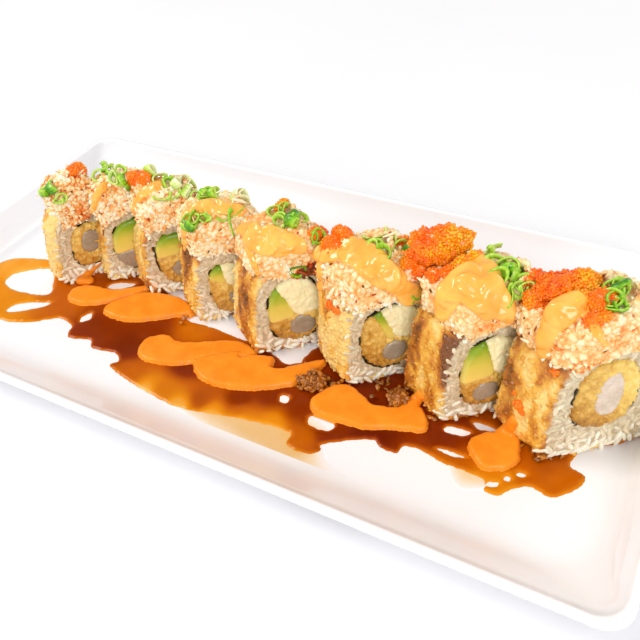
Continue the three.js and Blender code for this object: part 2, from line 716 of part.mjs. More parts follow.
/** Topping of one slice: crab salad with the drizzle, roe and scallion that lie on it. */
function buildTopping(index, bodies) {
  const slice = SLICES[index];
  const next = SLICES[index + 1];
  const place = placement(slice);
  let solid = solidOf(moundGeometry(index, 0).applyMatrix4(place));
  if (next) {
    const room = solidOf(moundGeometry(index + 1, GAP).applyMatrix4(placement(next)));
    solid = solid.subtract(room.intersect(pastBack(next, -GAP / 2, 1)));
  }
  LUMPS[index].forEach(([kind, across, side, above, ...size], i) => {
    const spot = [across, side + slant(slice, across), slice.tall + above];
    const shape = kind === "onion" ? onionRing(size, spot) : lump(size, spot, index * SEEDS.lump + i);
    const piece = solidOf(shape.applyMatrix4(place));
    solid = solid.add(next ? piece.intersect(pastBack(next, -GAP / 2, -1)) : piece);
  });
  for (const near of [index - 1, index, index + 1]) {
    if (bodies[near]) solid = solid.subtract(bodies[near]);
  }
  if (index > 0) solid = solid.intersect(pastBack(slice, GAP / 2, 1));
  ROE_HEAPS.forEach((heap, i) => {
    solid = solid.subtract(roeHeap(heap, GAP * ROE_ROOM, SEEDS.roe + i));
  });
  const geometry = geometryOf(solid).applyMatrix4(place.clone().invert());
  return makeMesh(`topping_${index + 1}`, geometry, LOOKS.topping);
}

/** Flat oval with rounded edges lying on the plate or on the sauce. */
function puddleOval([x, y, long, wide, turn, height], base, steps) {
  const rings = PUDDLE_LEVELS.map(([scale, level]) => {
    const points = [];
    for (let i = 0; i < steps; i += 1) {
      const angle = (i / steps) * Math.PI * 2;
      const along = long * scale * Math.cos(angle);
      const aside = wide * scale * Math.sin(angle);
      const cos = Math.cos(radians(turn));
      const sin = Math.sin(radians(turn));
      points.push([x + along * cos - aside * sin, y + along * sin + aside * cos, base + height * level]);
    }
    return points;
  });
  return solidOf(loft(rings));
}

/** Straight-sided oval slab, for the thin sauce pool and the patches in it. */
function ovalSlab([x, y, long, wide, turn], base, height, steps) {
  const cos = Math.cos(radians(turn));
  const sin = Math.sin(radians(turn));
  const ring = (z) => {
    const points = [];
    for (let i = 0; i < steps; i += 1) {
      const angle = (i / steps) * Math.PI * 2;
      const along = long * Math.cos(angle);
      const aside = wide * Math.sin(angle);
      points.push([x + along * cos - aside * sin, y + along * sin + aside * cos, z]);
    }
    return points;
  };
  return solidOf(loft([ring(base), ring(base + height)]));
}

/** Footprint of a slice with its clearance, as a slab that cuts the thin pool. */
function footprint(slice) {
  const half = slice.thick / 2 + GAP;
  const side = slice.low * POOL_CONTACT + GAP;
  const corners = [[-half, -side], [half, -side], [half, side], [-half, side]];
  const ring = (z) => corners.map(([across, aside]) => [across, aside + slant(slice, across), z]);
  return solidOf(loft([ring(-CUT_PAST), ring(POOL_HEIGHT + CUT_PAST)]).applyMatrix4(placement(slice)));
}

/** Thin pool of dark sauce around the slices, with the bare patches left in it. */
function buildPool() {
  let pool = ovalSlab(POOL_OVALS[0], FOOD_FLOOR, POOL_HEIGHT, POOL_STEPS);
  for (const oval of POOL_OVALS.slice(1, -1)) {
    pool = pool.add(ovalSlab(oval, FOOD_FLOOR, POOL_HEIGHT, POOL_STEPS));
  }
  pool = pool.add(ovalSlab(POOL_OVALS[POOL_OVALS.length - 1], FOOD_FLOOR, POOL_HEIGHT, POOL_LONG_STEPS));
  for (const patch of POOL_PATCHES) {
    pool = pool.subtract(ovalSlab(patch, FOOD_FLOOR - CUT_PAST, POOL_HEIGHT + 2 * CUT_PAST, PATCH_STEPS));
  }
  for (const slice of SLICES) pool = pool.subtract(footprint(slice));
  return makeMesh("sauce_pool", geometryOf(pool), LOOKS.pool);
}

/** One puddle of spicy mayonnaise, kept clear of the slices and of the puddles before it. */
function buildPuddle(ovals, number, neighbours) {
  let solid = puddleOval(ovals[0], MAYO_BASE, PUDDLE_STEPS);
  for (const oval of ovals.slice(1)) solid = solid.add(puddleOval(oval, MAYO_BASE, PUDDLE_STEPS));
  for (const other of neighbours) solid = solid.subtract(other);
  return makeMesh(`mayo_${number}`, geometryOf(solid), LOOKS.mayo);
}

/** Clumps of soaked crumbs, kept clear of the slices and the puddles. */
function buildClump([x, y, long, wide, height], number, neighbours) {
  const heap = lump([long, wide, height], [x, y, MAYO_BASE], SEEDS.crumbs + number);
  const sole = new THREE.BoxGeometry(FAR, FAR, FAR).translate(0, 0, FAR / 2 + MAYO_BASE);
  let solid = solidOf(heap).intersect(solidOf(sole));
  for (const other of neighbours) solid = solid.subtract(other);
  return makeMesh(`crumbs_${number}`, geometryOf(solid), LOOKS.crumbs);
}

/** Puddle grown by the clearance, for cutting the clumps beside it. */
function grownPuddle(ovals) {
  const solids = ovals.map(([x, y, long, wide, turn, height]) => {
    const grown = [x, y, long + GAP, wide + GAP, turn, height + GAP];
    return puddleOval(grown, MAYO_BASE - GAP, PUDDLE_STEPS);
  });
  return solids.reduce((sum, part) => sum.add(part));
}

/** One slice with its rice, seaweed, fillings and topping, placed as a group. */
function buildSlice(index, bodies) {
  const slice = SLICES[index];
  const number = index + 1;
  const group = new THREE.Group();
  group.name = `slice_${number}`;
  group.position.set(slice.x, slice.y, FOOD_FLOOR);
  group.rotation.z = -radians(slice.turn);
  group.add(buildRice(slice, number));
  group.add(buildNori(slice, number));
  group.add(...buildFillings(slice, FILLINGS[index], number));
  group.add(buildTopping(index, bodies));
  return group;
}

const grownBodies = SLICES.map((slice) => {
  const body = sliceBody(slice, GAP + CRUMB_RELIEF + BODY_CLEARANCE, 0, 1, CUTTER_STEPS);
  return solidOf(body.applyMatrix4(placement(slice)));
});

const grownPuddles = PUDDLES.map(grownPuddle);

const roll = new THREE.Group();
roll.name = "sushi_roll";
roll.add(buildPlate());
roll.add(buildPool());
PUDDLES.forEach((ovals, i) => {
  roll.add(buildPuddle(ovals, i + 1, [...grownBodies, ...grownPuddles.slice(0, i)]));
});
SLICES.forEach((slice, i) => roll.add(buildSlice(i, grownBodies)));
ROE_HEAPS.forEach((heap, i) => {
  const solid = roeHeap(heap, 0, SEEDS.roe + i);
  roll.add(makeMesh(`roe_${i + 1}`, geometryOf(solid), LOOKS.roe));
});
CRUMB_CLUMPS.forEach((clump, i) => {
  roll.add(buildClump(clump, i + 1, [...grownBodies, ...grownPuddles]));
});

export default roll;
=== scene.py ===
import logging
import math
import random
from dataclasses import dataclass
from enum import Enum
from typing import Callable, Optional, Sequence

import bmesh
import bpy
import numpy as np
from mathutils import Euler, Matrix, Vector, noise
from mathutils.bvhtree import BVHTree


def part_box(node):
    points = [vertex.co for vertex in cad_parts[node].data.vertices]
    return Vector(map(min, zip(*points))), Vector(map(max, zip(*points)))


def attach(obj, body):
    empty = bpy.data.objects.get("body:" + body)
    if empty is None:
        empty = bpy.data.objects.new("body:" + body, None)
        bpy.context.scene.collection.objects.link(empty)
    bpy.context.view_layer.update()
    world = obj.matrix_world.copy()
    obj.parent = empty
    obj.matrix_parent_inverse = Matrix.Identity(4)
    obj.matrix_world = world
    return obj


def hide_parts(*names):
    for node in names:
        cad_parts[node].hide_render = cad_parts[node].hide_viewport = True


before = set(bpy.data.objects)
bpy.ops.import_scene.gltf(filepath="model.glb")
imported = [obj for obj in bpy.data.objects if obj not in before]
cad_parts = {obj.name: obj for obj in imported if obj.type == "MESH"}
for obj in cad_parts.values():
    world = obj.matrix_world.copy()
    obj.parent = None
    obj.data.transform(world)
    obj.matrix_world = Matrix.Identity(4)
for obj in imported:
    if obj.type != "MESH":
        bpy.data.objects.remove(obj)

# Sliced shrimp tempura roll on a long white plate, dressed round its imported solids.
# Class fields are in millimetres, as the part's own source is; meshes are in metres.

LOG = logging.getLogger("sushi_roll")
MM = 0.001
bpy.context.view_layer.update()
BODY = "root"
FOOD_FLOOR = 6.35
PLATE_FLOOR = 6.0
SLICE_COUNT = 8
SEED = 7

Colour = tuple[float, float, float, float]
Point = tuple[float, float, float]
Ring = tuple[tuple[float, float], ...]


def srgb(red: float, green: float, blue: float) -> Colour:
    """Linear colour, with alpha 1, of a display colour from 0 to 255."""
    def linear(value: float) -> float:
        """Linear value of one display channel."""
        share = value / 255
        return share / 12.92 if share <= 0.04045 else ((share + 0.055) / 1.055) ** 2.4

    return (linear(red), linear(green), linear(blue), 1.0)


def shades(*rows: tuple[float, float, float, float]) -> tuple[tuple[float, Colour], ...]:
    """Stops of a ramp from rows of place, red, green and blue."""
    return tuple((place, srgb(*colour)) for place, *colour in rows)


def fractal(place: Vector, scale: float, octaves: int = 3, seed: float = 0.0) -> float:
    """Smooth noise from about -1 to 1.

    Args:
        place: point in millimetres.
        scale: size of the largest bumps in millimetres.
        octaves: how many finer layers are added.
        seed: shifts the pattern.

    Returns:
        The noise at that point.
    """
    shifted = Vector(place) / scale + Vector((seed * 13.7, seed * 5.1, seed * 9.3))
    return noise.fractal(shifted, 0.6, 2.1, octaves)


def lumps(place: Vector, size: float, seed: float = 0.0) -> float:
    """Packed rounded lumps: 0 in the crevices between them and 1 on top.

    Args:
        place: point in millimetres.
        size: width of a lump in millimetres.
        seed: shifts the pattern.

    Returns:
        The lump's height at that point, from 0 to 1.
    """
    spot = Vector(place) / size + Vector((seed * 7.3, seed * 3.1, seed * 5.9))
    distances, _ = noise.voronoi(spot + 0.35 * noise.noise_vector(spot * 1.3))
    inward = min(1.0, (distances[1] - distances[0]) * 1.5)
    return 1 - (1 - inward) ** 2


def soft_step(value: float, low: float, high: float) -> float:
    """Smooth rise from 0 at low to 1 at high."""
    share = min(1.0, max(0.0, (value - low) / (high - low)))
    return share * share * (3 - 2 * share)


# Slices


@dataclass(frozen=True)
class SliceSeat:
    """Place and size of one slice, as the part's source gives them.

    Its own first axis is the normal of its cut face, the second runs along the face.
    """

    number: int
    x: float
    y: float
    turn: float
    bias: float
    thick: float
    low: float
    high: float
    tall: float
    ring: tuple[float, float, float, float]
    soak: float
    creamy: float
    burnt: Point = (0.0, 0.0, 0.0)

    def to_world(self, across: float, side: float, height: float) -> Vector:
        """World point in millimetres of a point given in the slice's own frame.

        Args:
            across: distance from the slice's middle along its cut normal.
            side: distance along the face, before the slant of the cut.
            height: height above the plate's floor.

        Returns:
            The point in millimetres.
        """
        angle = math.radians(self.turn)
        slid = side + across * math.tan(math.radians(self.bias))
        east = across * math.cos(angle) + slid * math.sin(angle)
        north = -across * math.sin(angle) + slid * math.cos(angle)
        return Vector((self.x + east, self.y + north, FOOD_FLOOR + height))

    def to_local(self, place: Vector) -> Point:
        """Slice's own coordinates of a world point in millimetres."""
        angle = math.radians(self.turn)
        east, north = place[0] - self.x, place[1] - self.y
        across = east * math.cos(angle) - north * math.sin(angle)
        slid = east * math.sin(angle) + north * math.cos(angle)
        return across, slid - across * math.tan(math.radians(self.bias)), place[2] - FOOD_FLOOR

    def normal(self) -> Vector:
        """Normal of the cut face that looks along the row."""
        angle = math.radians(self.turn)
        return Vector((math.cos(angle), -math.sin(angle), 0))

    def rim_share(self, side: float, height: float) -> float:
        """How far out a point of the face lies: 0 in the middle, 1 on the outline."""
        level = height / self.tall * 2 - 1
        reach = (self.low + self.high) / 2 - (self.low - self.high) / 2 * level
        power = 7.0 if level < 0 else 3.2
        return (abs(side / reach) ** power + abs(level) ** power) ** (1 / power)

    def lie(self, place: Vector, normal: Vector) -> tuple[float, float, float, float]:
        """Side, height, likeness to a cut face and depth inside the outline of a surface point."""
        _, side, height = self.to_local(place)
        inset = (1 - self.rim_share(side, height)) * (self.low + self.high) / 2
        return side, height, abs(normal.dot(self.normal())), inset

    def ring_gap(self, side: float, height: float) -> float:
        """Rough distance of a face point outside the seaweed ring, in millimetres."""
        up, shift, wide, high = self.ring
        share = (abs((side - shift) / wide) ** 2.5 + abs((height - up) / high) ** 2.5) ** 0.4
        return (share - 1) * (wide + high) / 2


SEATS = (
    SliceSeat(1, -92.0, -1.2, 30, 8, 11.0, 18.5, 13, 36, (16.0, 0.0, 9.0, 11.0), 0.12, 0.15),
    SliceSeat(2, -70.3, 7.0, 44, 10, 9.5, 17.5, 13, 37, (16.5, -0.5, 10.5, 13.5), 0.2, 0.25),
    SliceSeat(3, -48.9, 7.1, 50, 14, 14.5, 18.5, 12.5, 37, (16.5, 0.0, 10.5, 14.0), 0.38, 0.3),
    SliceSeat(4, -20.0, 3.2, 50, 14, 17.5, 19.5, 14, 38, (14.8, -1.5, 10.5, 12.5), 0.45, 0.45),
    SliceSeat(
        5, 10.6, -2.6, 48, 14, 19.0, 20.5, 15, 41, (19.0, -1.5, 11.0, 15.0), 0.36, 0.5, (4.5, 34.5, 7.5)
    ),
    SliceSeat(6, 47.2, -3.5, 46, 14, 20.0, 19, 15, 42, (20.0, 0.0, 11.5, 14.5), 0.28, 0.45),
    SliceSeat(7, 85.4, -4.8, 48, 16, 20.0, 21.5, 17, 45, (20.8, -2.0, 11.5, 16.0), 0.44, 0.55),
    SliceSeat(8, 120.0, -6.3, 50, 20, 20.5, 22, 18, 48, (26.5, -2.0, 10.8, 15.5), 0.4, 0.5),
)


# Mesh tools


class Workshop:
    """Makes Blender objects, gives each one its finish and parents it to the body."""

    @staticmethod
    def linked(name: str, mesh: bpy.types.Mesh) -> bpy.types.Object:
        """Object in the scene for a mesh."""
        obj = bpy.data.objects.new(name, mesh)
        bpy.context.scene.collection.objects.link(obj)
        return obj

    @staticmethod
    def from_bmesh(name: str, shape: bmesh.types.BMesh, smooth: bool = True) -> bpy.types.Object:
        """Object in the scene from a bmesh, which is freed.

        Args:
            name: the piece's name.
            shape: its mesh, in metres.
            smooth: whether its faces shade smoothly.

        Returns:
            The new object.
        """
        mesh = bpy.data.meshes.new(name)
        shape.to_mesh(mesh)
        shape.free()
        for polygon in mesh.polygons:
            polygon.use_smooth = smooth
        return Workshop.linked(name, mesh)

    @staticmethod
    def from_arrays(name: str, points: np.ndarray, corners: np.ndarray) -> bpy.types.Object:
        """Object in the scene from arrays of points and triangles.

        Args:
            name: the piece's name.
            points: points in metres, one row each.
            corners: three point numbers for each triangle.

        Returns:
            The new object.
        """
        mesh = bpy.data.meshes.new(name)
        mesh.vertices.add(len(points))
        mesh.vertices.foreach_set("co", points.astype(np.float32).ravel())
        mesh.loops.add(corners.size)
        mesh.loops.foreach_set("vertex_index", corners.astype(np.int32).ravel())
        mesh.polygons.add(len(corners))
        mesh.polygons.foreach_set("loop_start", np.arange(0, corners.size, 3, dtype=np.int32))
        mesh.polygons.foreach_set("loop_total", np.full(len(corners), 3, dtype=np.int32))
        mesh.polygons.foreach_set("use_smooth", np.ones(len(corners), bool))
        mesh.update(calc_edges=True)
        mesh.validate()
        return Workshop.linked(name, mesh)

    @staticmethod
    def core_of(node: str, voxel: float, rounds: int) -> bmesh.types.BMesh:
        """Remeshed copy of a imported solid, which itself is left alone."""
        shape = bmesh.new()
        shape.from_mesh(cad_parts[node].data)
        bmesh.ops.remove_doubles(shape, verts=shape.verts, dist=1e-6)
        return Workshop.remeshed(shape, voxel, rounds)

    @staticmethod
    def remeshed(shape: bmesh.types.BMesh, voxel: float, rounds: int) -> bmesh.types.BMesh:
        """Evenly meshed and smoothed copy of a closed shape, which is freed.

        Args:
            shape: closed mesh in metres.
            voxel: size of its new faces in millimetres.
            rounds: how often it is smoothed.

        Returns:
            The new mesh.
        """
        mesh = bpy.data.meshes.new("remesh_source")
        shape.to_mesh(mesh)
        shape.free()
        obj = Workshop.linked("remesh_source", mesh)
        modifier = obj.modifiers.new("even", "REMESH")
        modifier.mode = "VOXEL"
        modifier.voxel_size = voxel * MM
        graph = bpy.context.evaluated_depsgraph_get()
        result = bmesh.new()
        result.from_mesh(obj.evaluated_get(graph).to_mesh())
        obj.evaluated_get(graph).to_mesh_clear()
        bpy.data.objects.remove(obj)
        bpy.data.meshes.remove(mesh)
        for _ in range(rounds):
            bmesh.ops.smooth_vert(
                result, verts=result.verts, factor=0.5, use_axis_x=True, use_axis_y=True, use_axis_z=True
            )
        return result

    @staticmethod
    def merge(joined: bmesh.types.BMesh, shape: bmesh.types.BMesh) -> None:
        """Moves a mesh into a joined one and frees it."""
        mesh = bpy.data.meshes.new("part")
        shape.to_mesh(mesh)
        shape.free()
        joined.from_mesh(mesh)
        bpy.data.meshes.remove(mesh)

    @staticmethod
    def swept(
        count: int, rings: Sequence[object], place: Callable[[object, int], Vector]
    ) -> tuple[bmesh.types.BMesh, list[bmesh.types.BMEdge], list[bmesh.types.BMEdge]]:
        """Open tube through rings of points.

        Args:
            count: points round each ring.
            rings: one value for each ring.
            place: gives a point in metres from a ring and the point's number round it.

        Returns:
            The mesh, the edges of its first ring and those of its last.
        """
        shape = bmesh.new()
        bmesh.ops.create_circle(shape, segments=count, radius=1.0, cap_ends=False)
        order = shape.verts.layers.int.new("order")
        shape.verts.ensure_lookup_table()
        for index, vertex in enumerate(shape.verts):
            vertex[order] = index
            vertex.co = place(rings[0], index)
        first = edges = list(shape.edges)
        for ring in rings[1:]:
            made = bmesh.ops.extrude_edge_only(shape, edges=edges)["geom"]
            edges = [g for g in made if isinstance(g, bmesh.types.BMEdge)]
            for vertex in (g for g in made if isinstance(g, bmesh.types.BMVert)):
                vertex.co = place(ring, vertex[order])
        return shape, first, edges

    @staticmethod
    def roughened(shape: bmesh.types.BMesh, height: Callable[[Vector, Vector], float]) -> None:
        """Moves each vertex along its normal.

        Args:
            shape: mesh in metres, changed in place.
            height: gives the move in millimetres from a point in millimetres and its normal.
        """
        shape.normal_update()
        moves = [height(v.co / MM, v.normal) * MM for v in shape.verts]
        for vertex, move in zip(shape.verts, moves):
            vertex.co += vertex.normal * move

    @staticmethod
    def paint(obj: bpy.types.Object, name: str, values: Sequence[float]) -> None:
        """Stores one number for each vertex under a name that a finish reads."""
        layer = obj.data.attributes.new(name, "FLOAT", "POINT")
        layer.data.foreach_set("value", np.asarray(values, dtype=np.float32))

    @classmethod
    def piece(
        cls, name: str, shape: bmesh.types.BMesh, finish: bpy.types.Material, slot: str, *nodes: str,
        smooth: bool = True, **tones: Sequence[float],
    ) -> None:
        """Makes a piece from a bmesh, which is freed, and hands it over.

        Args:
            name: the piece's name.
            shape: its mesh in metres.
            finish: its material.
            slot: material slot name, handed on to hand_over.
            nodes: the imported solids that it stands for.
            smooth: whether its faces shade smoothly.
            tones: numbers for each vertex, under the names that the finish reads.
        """
        obj = cls.from_bmesh(name, shape, smooth)
        for key, values in tones.items():
            cls.paint(obj, key, values)
        cls.hand_over(obj, finish, slot, *nodes)

    @staticmethod
    def hand_over(obj: bpy.types.Object, finish: bpy.types.Material, slot: str, *nodes: str) -> None:
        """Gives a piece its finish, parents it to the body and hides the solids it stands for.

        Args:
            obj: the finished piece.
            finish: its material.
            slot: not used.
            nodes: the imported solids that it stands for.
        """
        obj.data.materials.append(finish)
        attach(obj, BODY)
        if nodes:
            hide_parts(*nodes)
        LOG.info("%s: %d faces", obj.name, len(obj.data.polygons))


# Finishes


class NodeBench:
    """Short way to lay out the nodes of one material."""

    def __init__(self, name: str) -> None:
        """Starts an empty material with its shader and output."""
        self.material = bpy.data.materials.new(name)
        self.material.use_nodes = True
        self.tree = self.material.node_tree
        self.tree.nodes.clear()
        self.output = self.tree.nodes.new("ShaderNodeOutputMaterial")
        self.shader = self.tree.nodes.new("ShaderNodeBsdfPrincipled")
        self.link(self.shader.outputs["BSDF"], self.output.inputs["Surface"])
        self.coord = self.tree.nodes.new("ShaderNodeTexCoord")
        self.shader.inputs["Subsurface Radius"].default_value = (1.0, 0.6, 0.35)

    def link(self, start: bpy.types.NodeSocket, end: bpy.types.NodeSocket) -> None:
        """Joins two sockets."""
        self.tree.links.new(start, end)

    def set(self, **values: object) -> None:
        """Sets constants on the shader's own sockets, named with _ for a space."""
        for name, value in values.items():
            self.shader.inputs[name.replace("_", " ")].default_value = value

    def attribute(self, name: str) -> bpy.types.NodeSocket:
        """Number stored on the mesh under a name."""
        node = self.tree.nodes.new("ShaderNodeAttribute")
        node.attribute_name = name
        return node.outputs["Fac"]

    def noise(self, size: float, detail: float = 3.0) -> bpy.types.NodeSocket:
        """Noise with bumps of a size in millimetres."""
        node = self.tree.nodes.new("ShaderNodeTexNoise")
        node.inputs["Scale"].default_value = 1 / (size * MM)
        node.inputs["Detail"].default_value = detail
        node.inputs["Roughness"].default_value = 0.55
        self.link(self.coord.outputs["Object"], node.inputs["Vector"])
        return node.outputs["Fac"]

    def cells(self, size: float) -> bpy.types.NodeSocket:
        """Distance inside cells of a size in millimetres."""
        node = self.tree.nodes.new("ShaderNodeTexVoronoi")
        node.inputs["Scale"].default_value = 1 / (size * MM)
        self.link(self.coord.outputs["Object"], node.inputs["Vector"])
        return node.outputs["Distance"]

    def ramp(self, source: bpy.types.NodeSocket, *stops: tuple[float, Colour]) -> bpy.types.NodeSocket:
        """Colour that follows a number through stops (place, colour)."""
        node = self.tree.nodes.new("ShaderNodeValToRGB")
        elements = node.color_ramp.elements
        while len(elements) < len(stops):
            elements.new(0.5)
        for element, (place, colour) in zip(elements, stops):
            element.position = place
            element.color = colour
        self.link(source, node.inputs["Fac"])
        return node.outputs["Color"]

    def mix(self, share: bpy.types.NodeSocket, first: object, second: object) -> bpy.types.NodeSocket:
        """Colour between two colours or colour sockets by a share."""
        node = self.tree.nodes.new("ShaderNodeMix")
        node.data_type = "RGBA"
        self.link(share, node.inputs["Factor"])
        for key, value in (("A", first), ("B", second)):
            socket = next(s for s in node.inputs if s.name == key and s.type == "RGBA")
            if isinstance(value, bpy.types.NodeSocket):
                self.link(value, socket)
            else:
                socket.default_value = value
        return next(s for s in node.outputs if s.type == "RGBA")

    def maths(self, kind: str, first: object, second: object, clamp: bool = False) -> bpy.types.NodeSocket:
        """Result of one Math node."""
        node = self.tree.nodes.new("ShaderNodeMath")
        node.operation = kind
        node.use_clamp = clamp
        for socket, value in zip(node.inputs, (first, second)):
            if isinstance(value, bpy.types.NodeSocket):
                self.link(value, socket)
            else:
                socket.default_value = value
        return node.outputs["Value"]

    def spread(self, source: bpy.types.NodeSocket, low: float, high: float) -> bpy.types.NodeSocket:
        """Number from 0 to 1 moved to a range."""
        node = self.tree.nodes.new("ShaderNodeMapRange")
        node.inputs["To Min"].default_value = low
        node.inputs["To Max"].default_value = high
        self.link(source, node.inputs["Value"])
        return node.outputs["Result"]

    def blurred(self, name: str, size: float, detail: float, reach: float) -> bpy.types.NodeSocket:
        """Number stored on the mesh with some noise added, kept from 0 to 1."""
        waver = self.spread(self.noise(size, detail), -reach, reach)
        return self.maths("ADD", self.attribute(name), waver, clamp=True)

    def bump(self, source: bpy.types.NodeSocket, depth: float) -> None:
        """Adds relief of a depth in millimetres, over what is there already."""
        node = self.tree.nodes.new("ShaderNodeBump")
        node.inputs["Distance"].default_value = depth * MM
        node.inputs["Strength"].default_value = 1.0
        self.link(source, node.inputs["Height"])
        before = self.shader.inputs["Normal"].links
        if before:
            self.link(before[0].from_socket, node.inputs["Normal"])
        self.link(node.outputs["Normal"], self.shader.inputs["Normal"])

    def colour(self, source: bpy.types.NodeSocket) -> None:
        """Feeds the base colour."""
        self.link(source, self.shader.inputs["Base Color"])

    def roughness(self, source: bpy.types.NodeSocket) -> None:
        """Feeds the roughness."""
        self.link(source, self.shader.inputs["Roughness"])


@dataclass(frozen=True)
class Porcelain:
    """White glazed porcelain."""

    body: Colour = srgb(250, 249, 251)
    shade: Colour = srgb(246, 245, 247)

    def build(self) -> bpy.types.Material:
        """The finished material."""
        bench = NodeBench("porcelain")
        bench.set(Coat_Weight=0.5, Coat_Roughness=0.06)
        bench.colour(bench.ramp(bench.noise(60), (0.3, self.shade), (0.7, self.body)))
        bench.roughness(bench.spread(bench.noise(25), 0.2, 0.3))
        bench.bump(bench.noise(30, 2), 0.05)
        return bench.material


@dataclass(frozen=True)
class Glaze:
    """Sweet soy glaze, amber where it is thin. Reads depth."""

    name: str
    stops: tuple[tuple[float, Colour], ...]
    wet: float = 0.16
    shine: float = 0.03

    def build(self) -> bpy.types.Material:
        """The finished material."""
        bench = NodeBench(self.name)
        bench.set(Coat_Weight=self.wet, Coat_Roughness=0.03, Specular_IOR_Level=self.shine)
        bench.colour(bench.ramp(bench.blurred("depth", 11, 3, 0.09), *self.stops))
        bench.roughness(bench.spread(bench.noise(5), 0.14, 0.26))
        bench.bump(bench.noise(7, 2), 0.06)
        return bench.material


@dataclass(frozen=True)
class SpicyMayo:
    """Orange mayonnaise with fine specks of chilli."""

    name: str = "spicy_mayo"
    body: Colour = srgb(244, 138, 26)
    light: Colour = srgb(250, 154, 40)
    speck: Colour = srgb(160, 70, 16)
    wet: float = 0.06

    def build(self) -> bpy.types.Material:
        """The finished material."""
        bench = NodeBench(self.name)
        bench.set(Subsurface_Weight=0.1, Subsurface_Scale=0.002, Specular_IOR_Level=0.2)
        bench.set(Coat_Weight=self.wet, Coat_Roughness=0.08)
        base = bench.ramp(bench.noise(7, 4), (0.35, self.body), (0.7, self.light))
        dots = bench.ramp(bench.cells(1.3), (0.05, (1, 1, 1, 1)), (0.13, (0, 0, 0, 1)))
        few = bench.ramp(bench.noise(2.6), (0.55, (0, 0, 0, 1)), (0.68, (0.7, 0.7, 0.7, 1)))
        share = bench.maths("MULTIPLY", dots, few)
        bench.colour(bench.mix(share, base, self.speck))
        bench.roughness(bench.spread(bench.noise(6), 0.24, 0.4))
        bench.bump(bench.noise(3, 3), 0.12)
        return bench.material


@dataclass(frozen=True)
class RiceFinish:
    """Steamed rice, for the bed or for grains. Reads tint."""

    name: str
    grey: Colour = srgb(196, 174, 136)
    body: Colour = srgb(234, 216, 180)
    light: Colour = srgb(255, 246, 224)

    def build(self) -> bpy.types.Material:
        """The finished material."""
        bench = NodeBench(self.name)
        bench.set(Subsurface_Weight=0.35, Subsurface_Scale=0.0006, Coat_Weight=0.25, Coat_Roughness=0.2)
        level = bench.blurred("tint", 2, 2, 0.2)
        bench.colour(bench.ramp(level, (0.1, self.grey), (0.55, self.body), (0.95, self.light)))
        bench.roughness(bench.spread(bench.noise(1.2), 0.3, 0.5))
        bench.bump(bench.noise(0.8, 3), 0.12)
        return bench.material


@dataclass(frozen=True)
class CrumbFinish:
    """Fried crumbs from dry gold to soaked brown. Reads soak."""

    name: str
    pale: Colour = srgb(253, 214, 128)
    gold: Colour = srgb(240, 180, 66)
    brown: Colour = srgb(198, 118, 26)
    dark: Colour = srgb(126, 70, 18)

    def crumbs(self, bench: NodeBench) -> tuple[bpy.types.NodeSocket, bpy.types.NodeSocket]:
        """How far the crumbs are soaked, and their colour."""
        bench.set(Subsurface_Weight=0.3, Subsurface_Scale=0.0006, Coat_Weight=0.35, Coat_Roughness=0.15)
        level = bench.blurred("soak", 3.4, 3, 0.2)
        stops = ((0.05, self.pale), (0.3, self.gold), (0.62, self.brown), (0.95, self.dark))
        return level, bench.ramp(level, *stops)

    def build(self) -> bpy.types.Material:
        """The finished material."""
        bench = NodeBench(self.name)
        level, colour = self.crumbs(bench)
        bench.colour(colour)
        bench.roughness(bench.ramp(level, (0.3, (0.55, 0.55, 0.55, 1)), (0.7, (0.25, 0.25, 0.25, 1))))
        bench.bump(bench.noise(1.0, 4), 0.25)
        bench.bump(bench.cells(1.2), 0.25)
        return bench.material


@dataclass(frozen=True)
class CoatAndRice(CrumbFinish):
    """Rice on the cut faces and fried crumbs outside, as one finish. Reads soak and bed."""

    name: str = "coat_and_rice"
    rice: Colour = srgb(226, 208, 172)
    rice_dark: Colour = srgb(190, 168, 130)

    def build(self) -> bpy.types.Material:
        """The finished material."""
        bench = NodeBench(self.name)
        _, crumbs = self.crumbs(bench)
        grains = bench.ramp(bench.noise(1.8, 2), (0.35, self.rice_dark), (0.6, self.rice))
        bench.colour(bench.mix(bench.attribute("bed"), crumbs, grains))
        bench.roughness(bench.spread(bench.noise(1.5), 0.25, 0.5))
        bench.bump(bench.noise(1.0, 4), 0.25)
        bench.bump(bench.cells(1.2), 0.3)
        return bench.material


@dataclass(frozen=True)
class RampFinish:
    """Damp food whose colour follows one stored number and a noise."""

    name: str
    reads: str
    stops: tuple[tuple[float, Colour], ...]
    noise_size: float = 3.0
    unevenness: float = 0.2
    rough: tuple[float, float] = (0.3, 0.5)
    relief: float = 0.15
    soft: float = 0.2
    wet: float = 0.2

    def build(self) -> bpy.types.Material:
        """The finished material."""
        bench = NodeBench(self.name)
        bench.set(Subsurface_Weight=self.soft, Subsurface_Scale=0.0004, Specular_IOR_Level=0.3)
        bench.set(Coat_Weight=self.wet, Coat_Roughness=0.15)
        level = bench.blurred(self.reads, self.noise_size, 4, self.unevenness)
        bench.colour(bench.ramp(level, *self.stops))
        bench.roughness(bench.spread(bench.noise(self.noise_size / 2), *self.rough))
        bench.bump(bench.noise(self.noise_size / 2.5, 4), self.relief)
        return bench.material


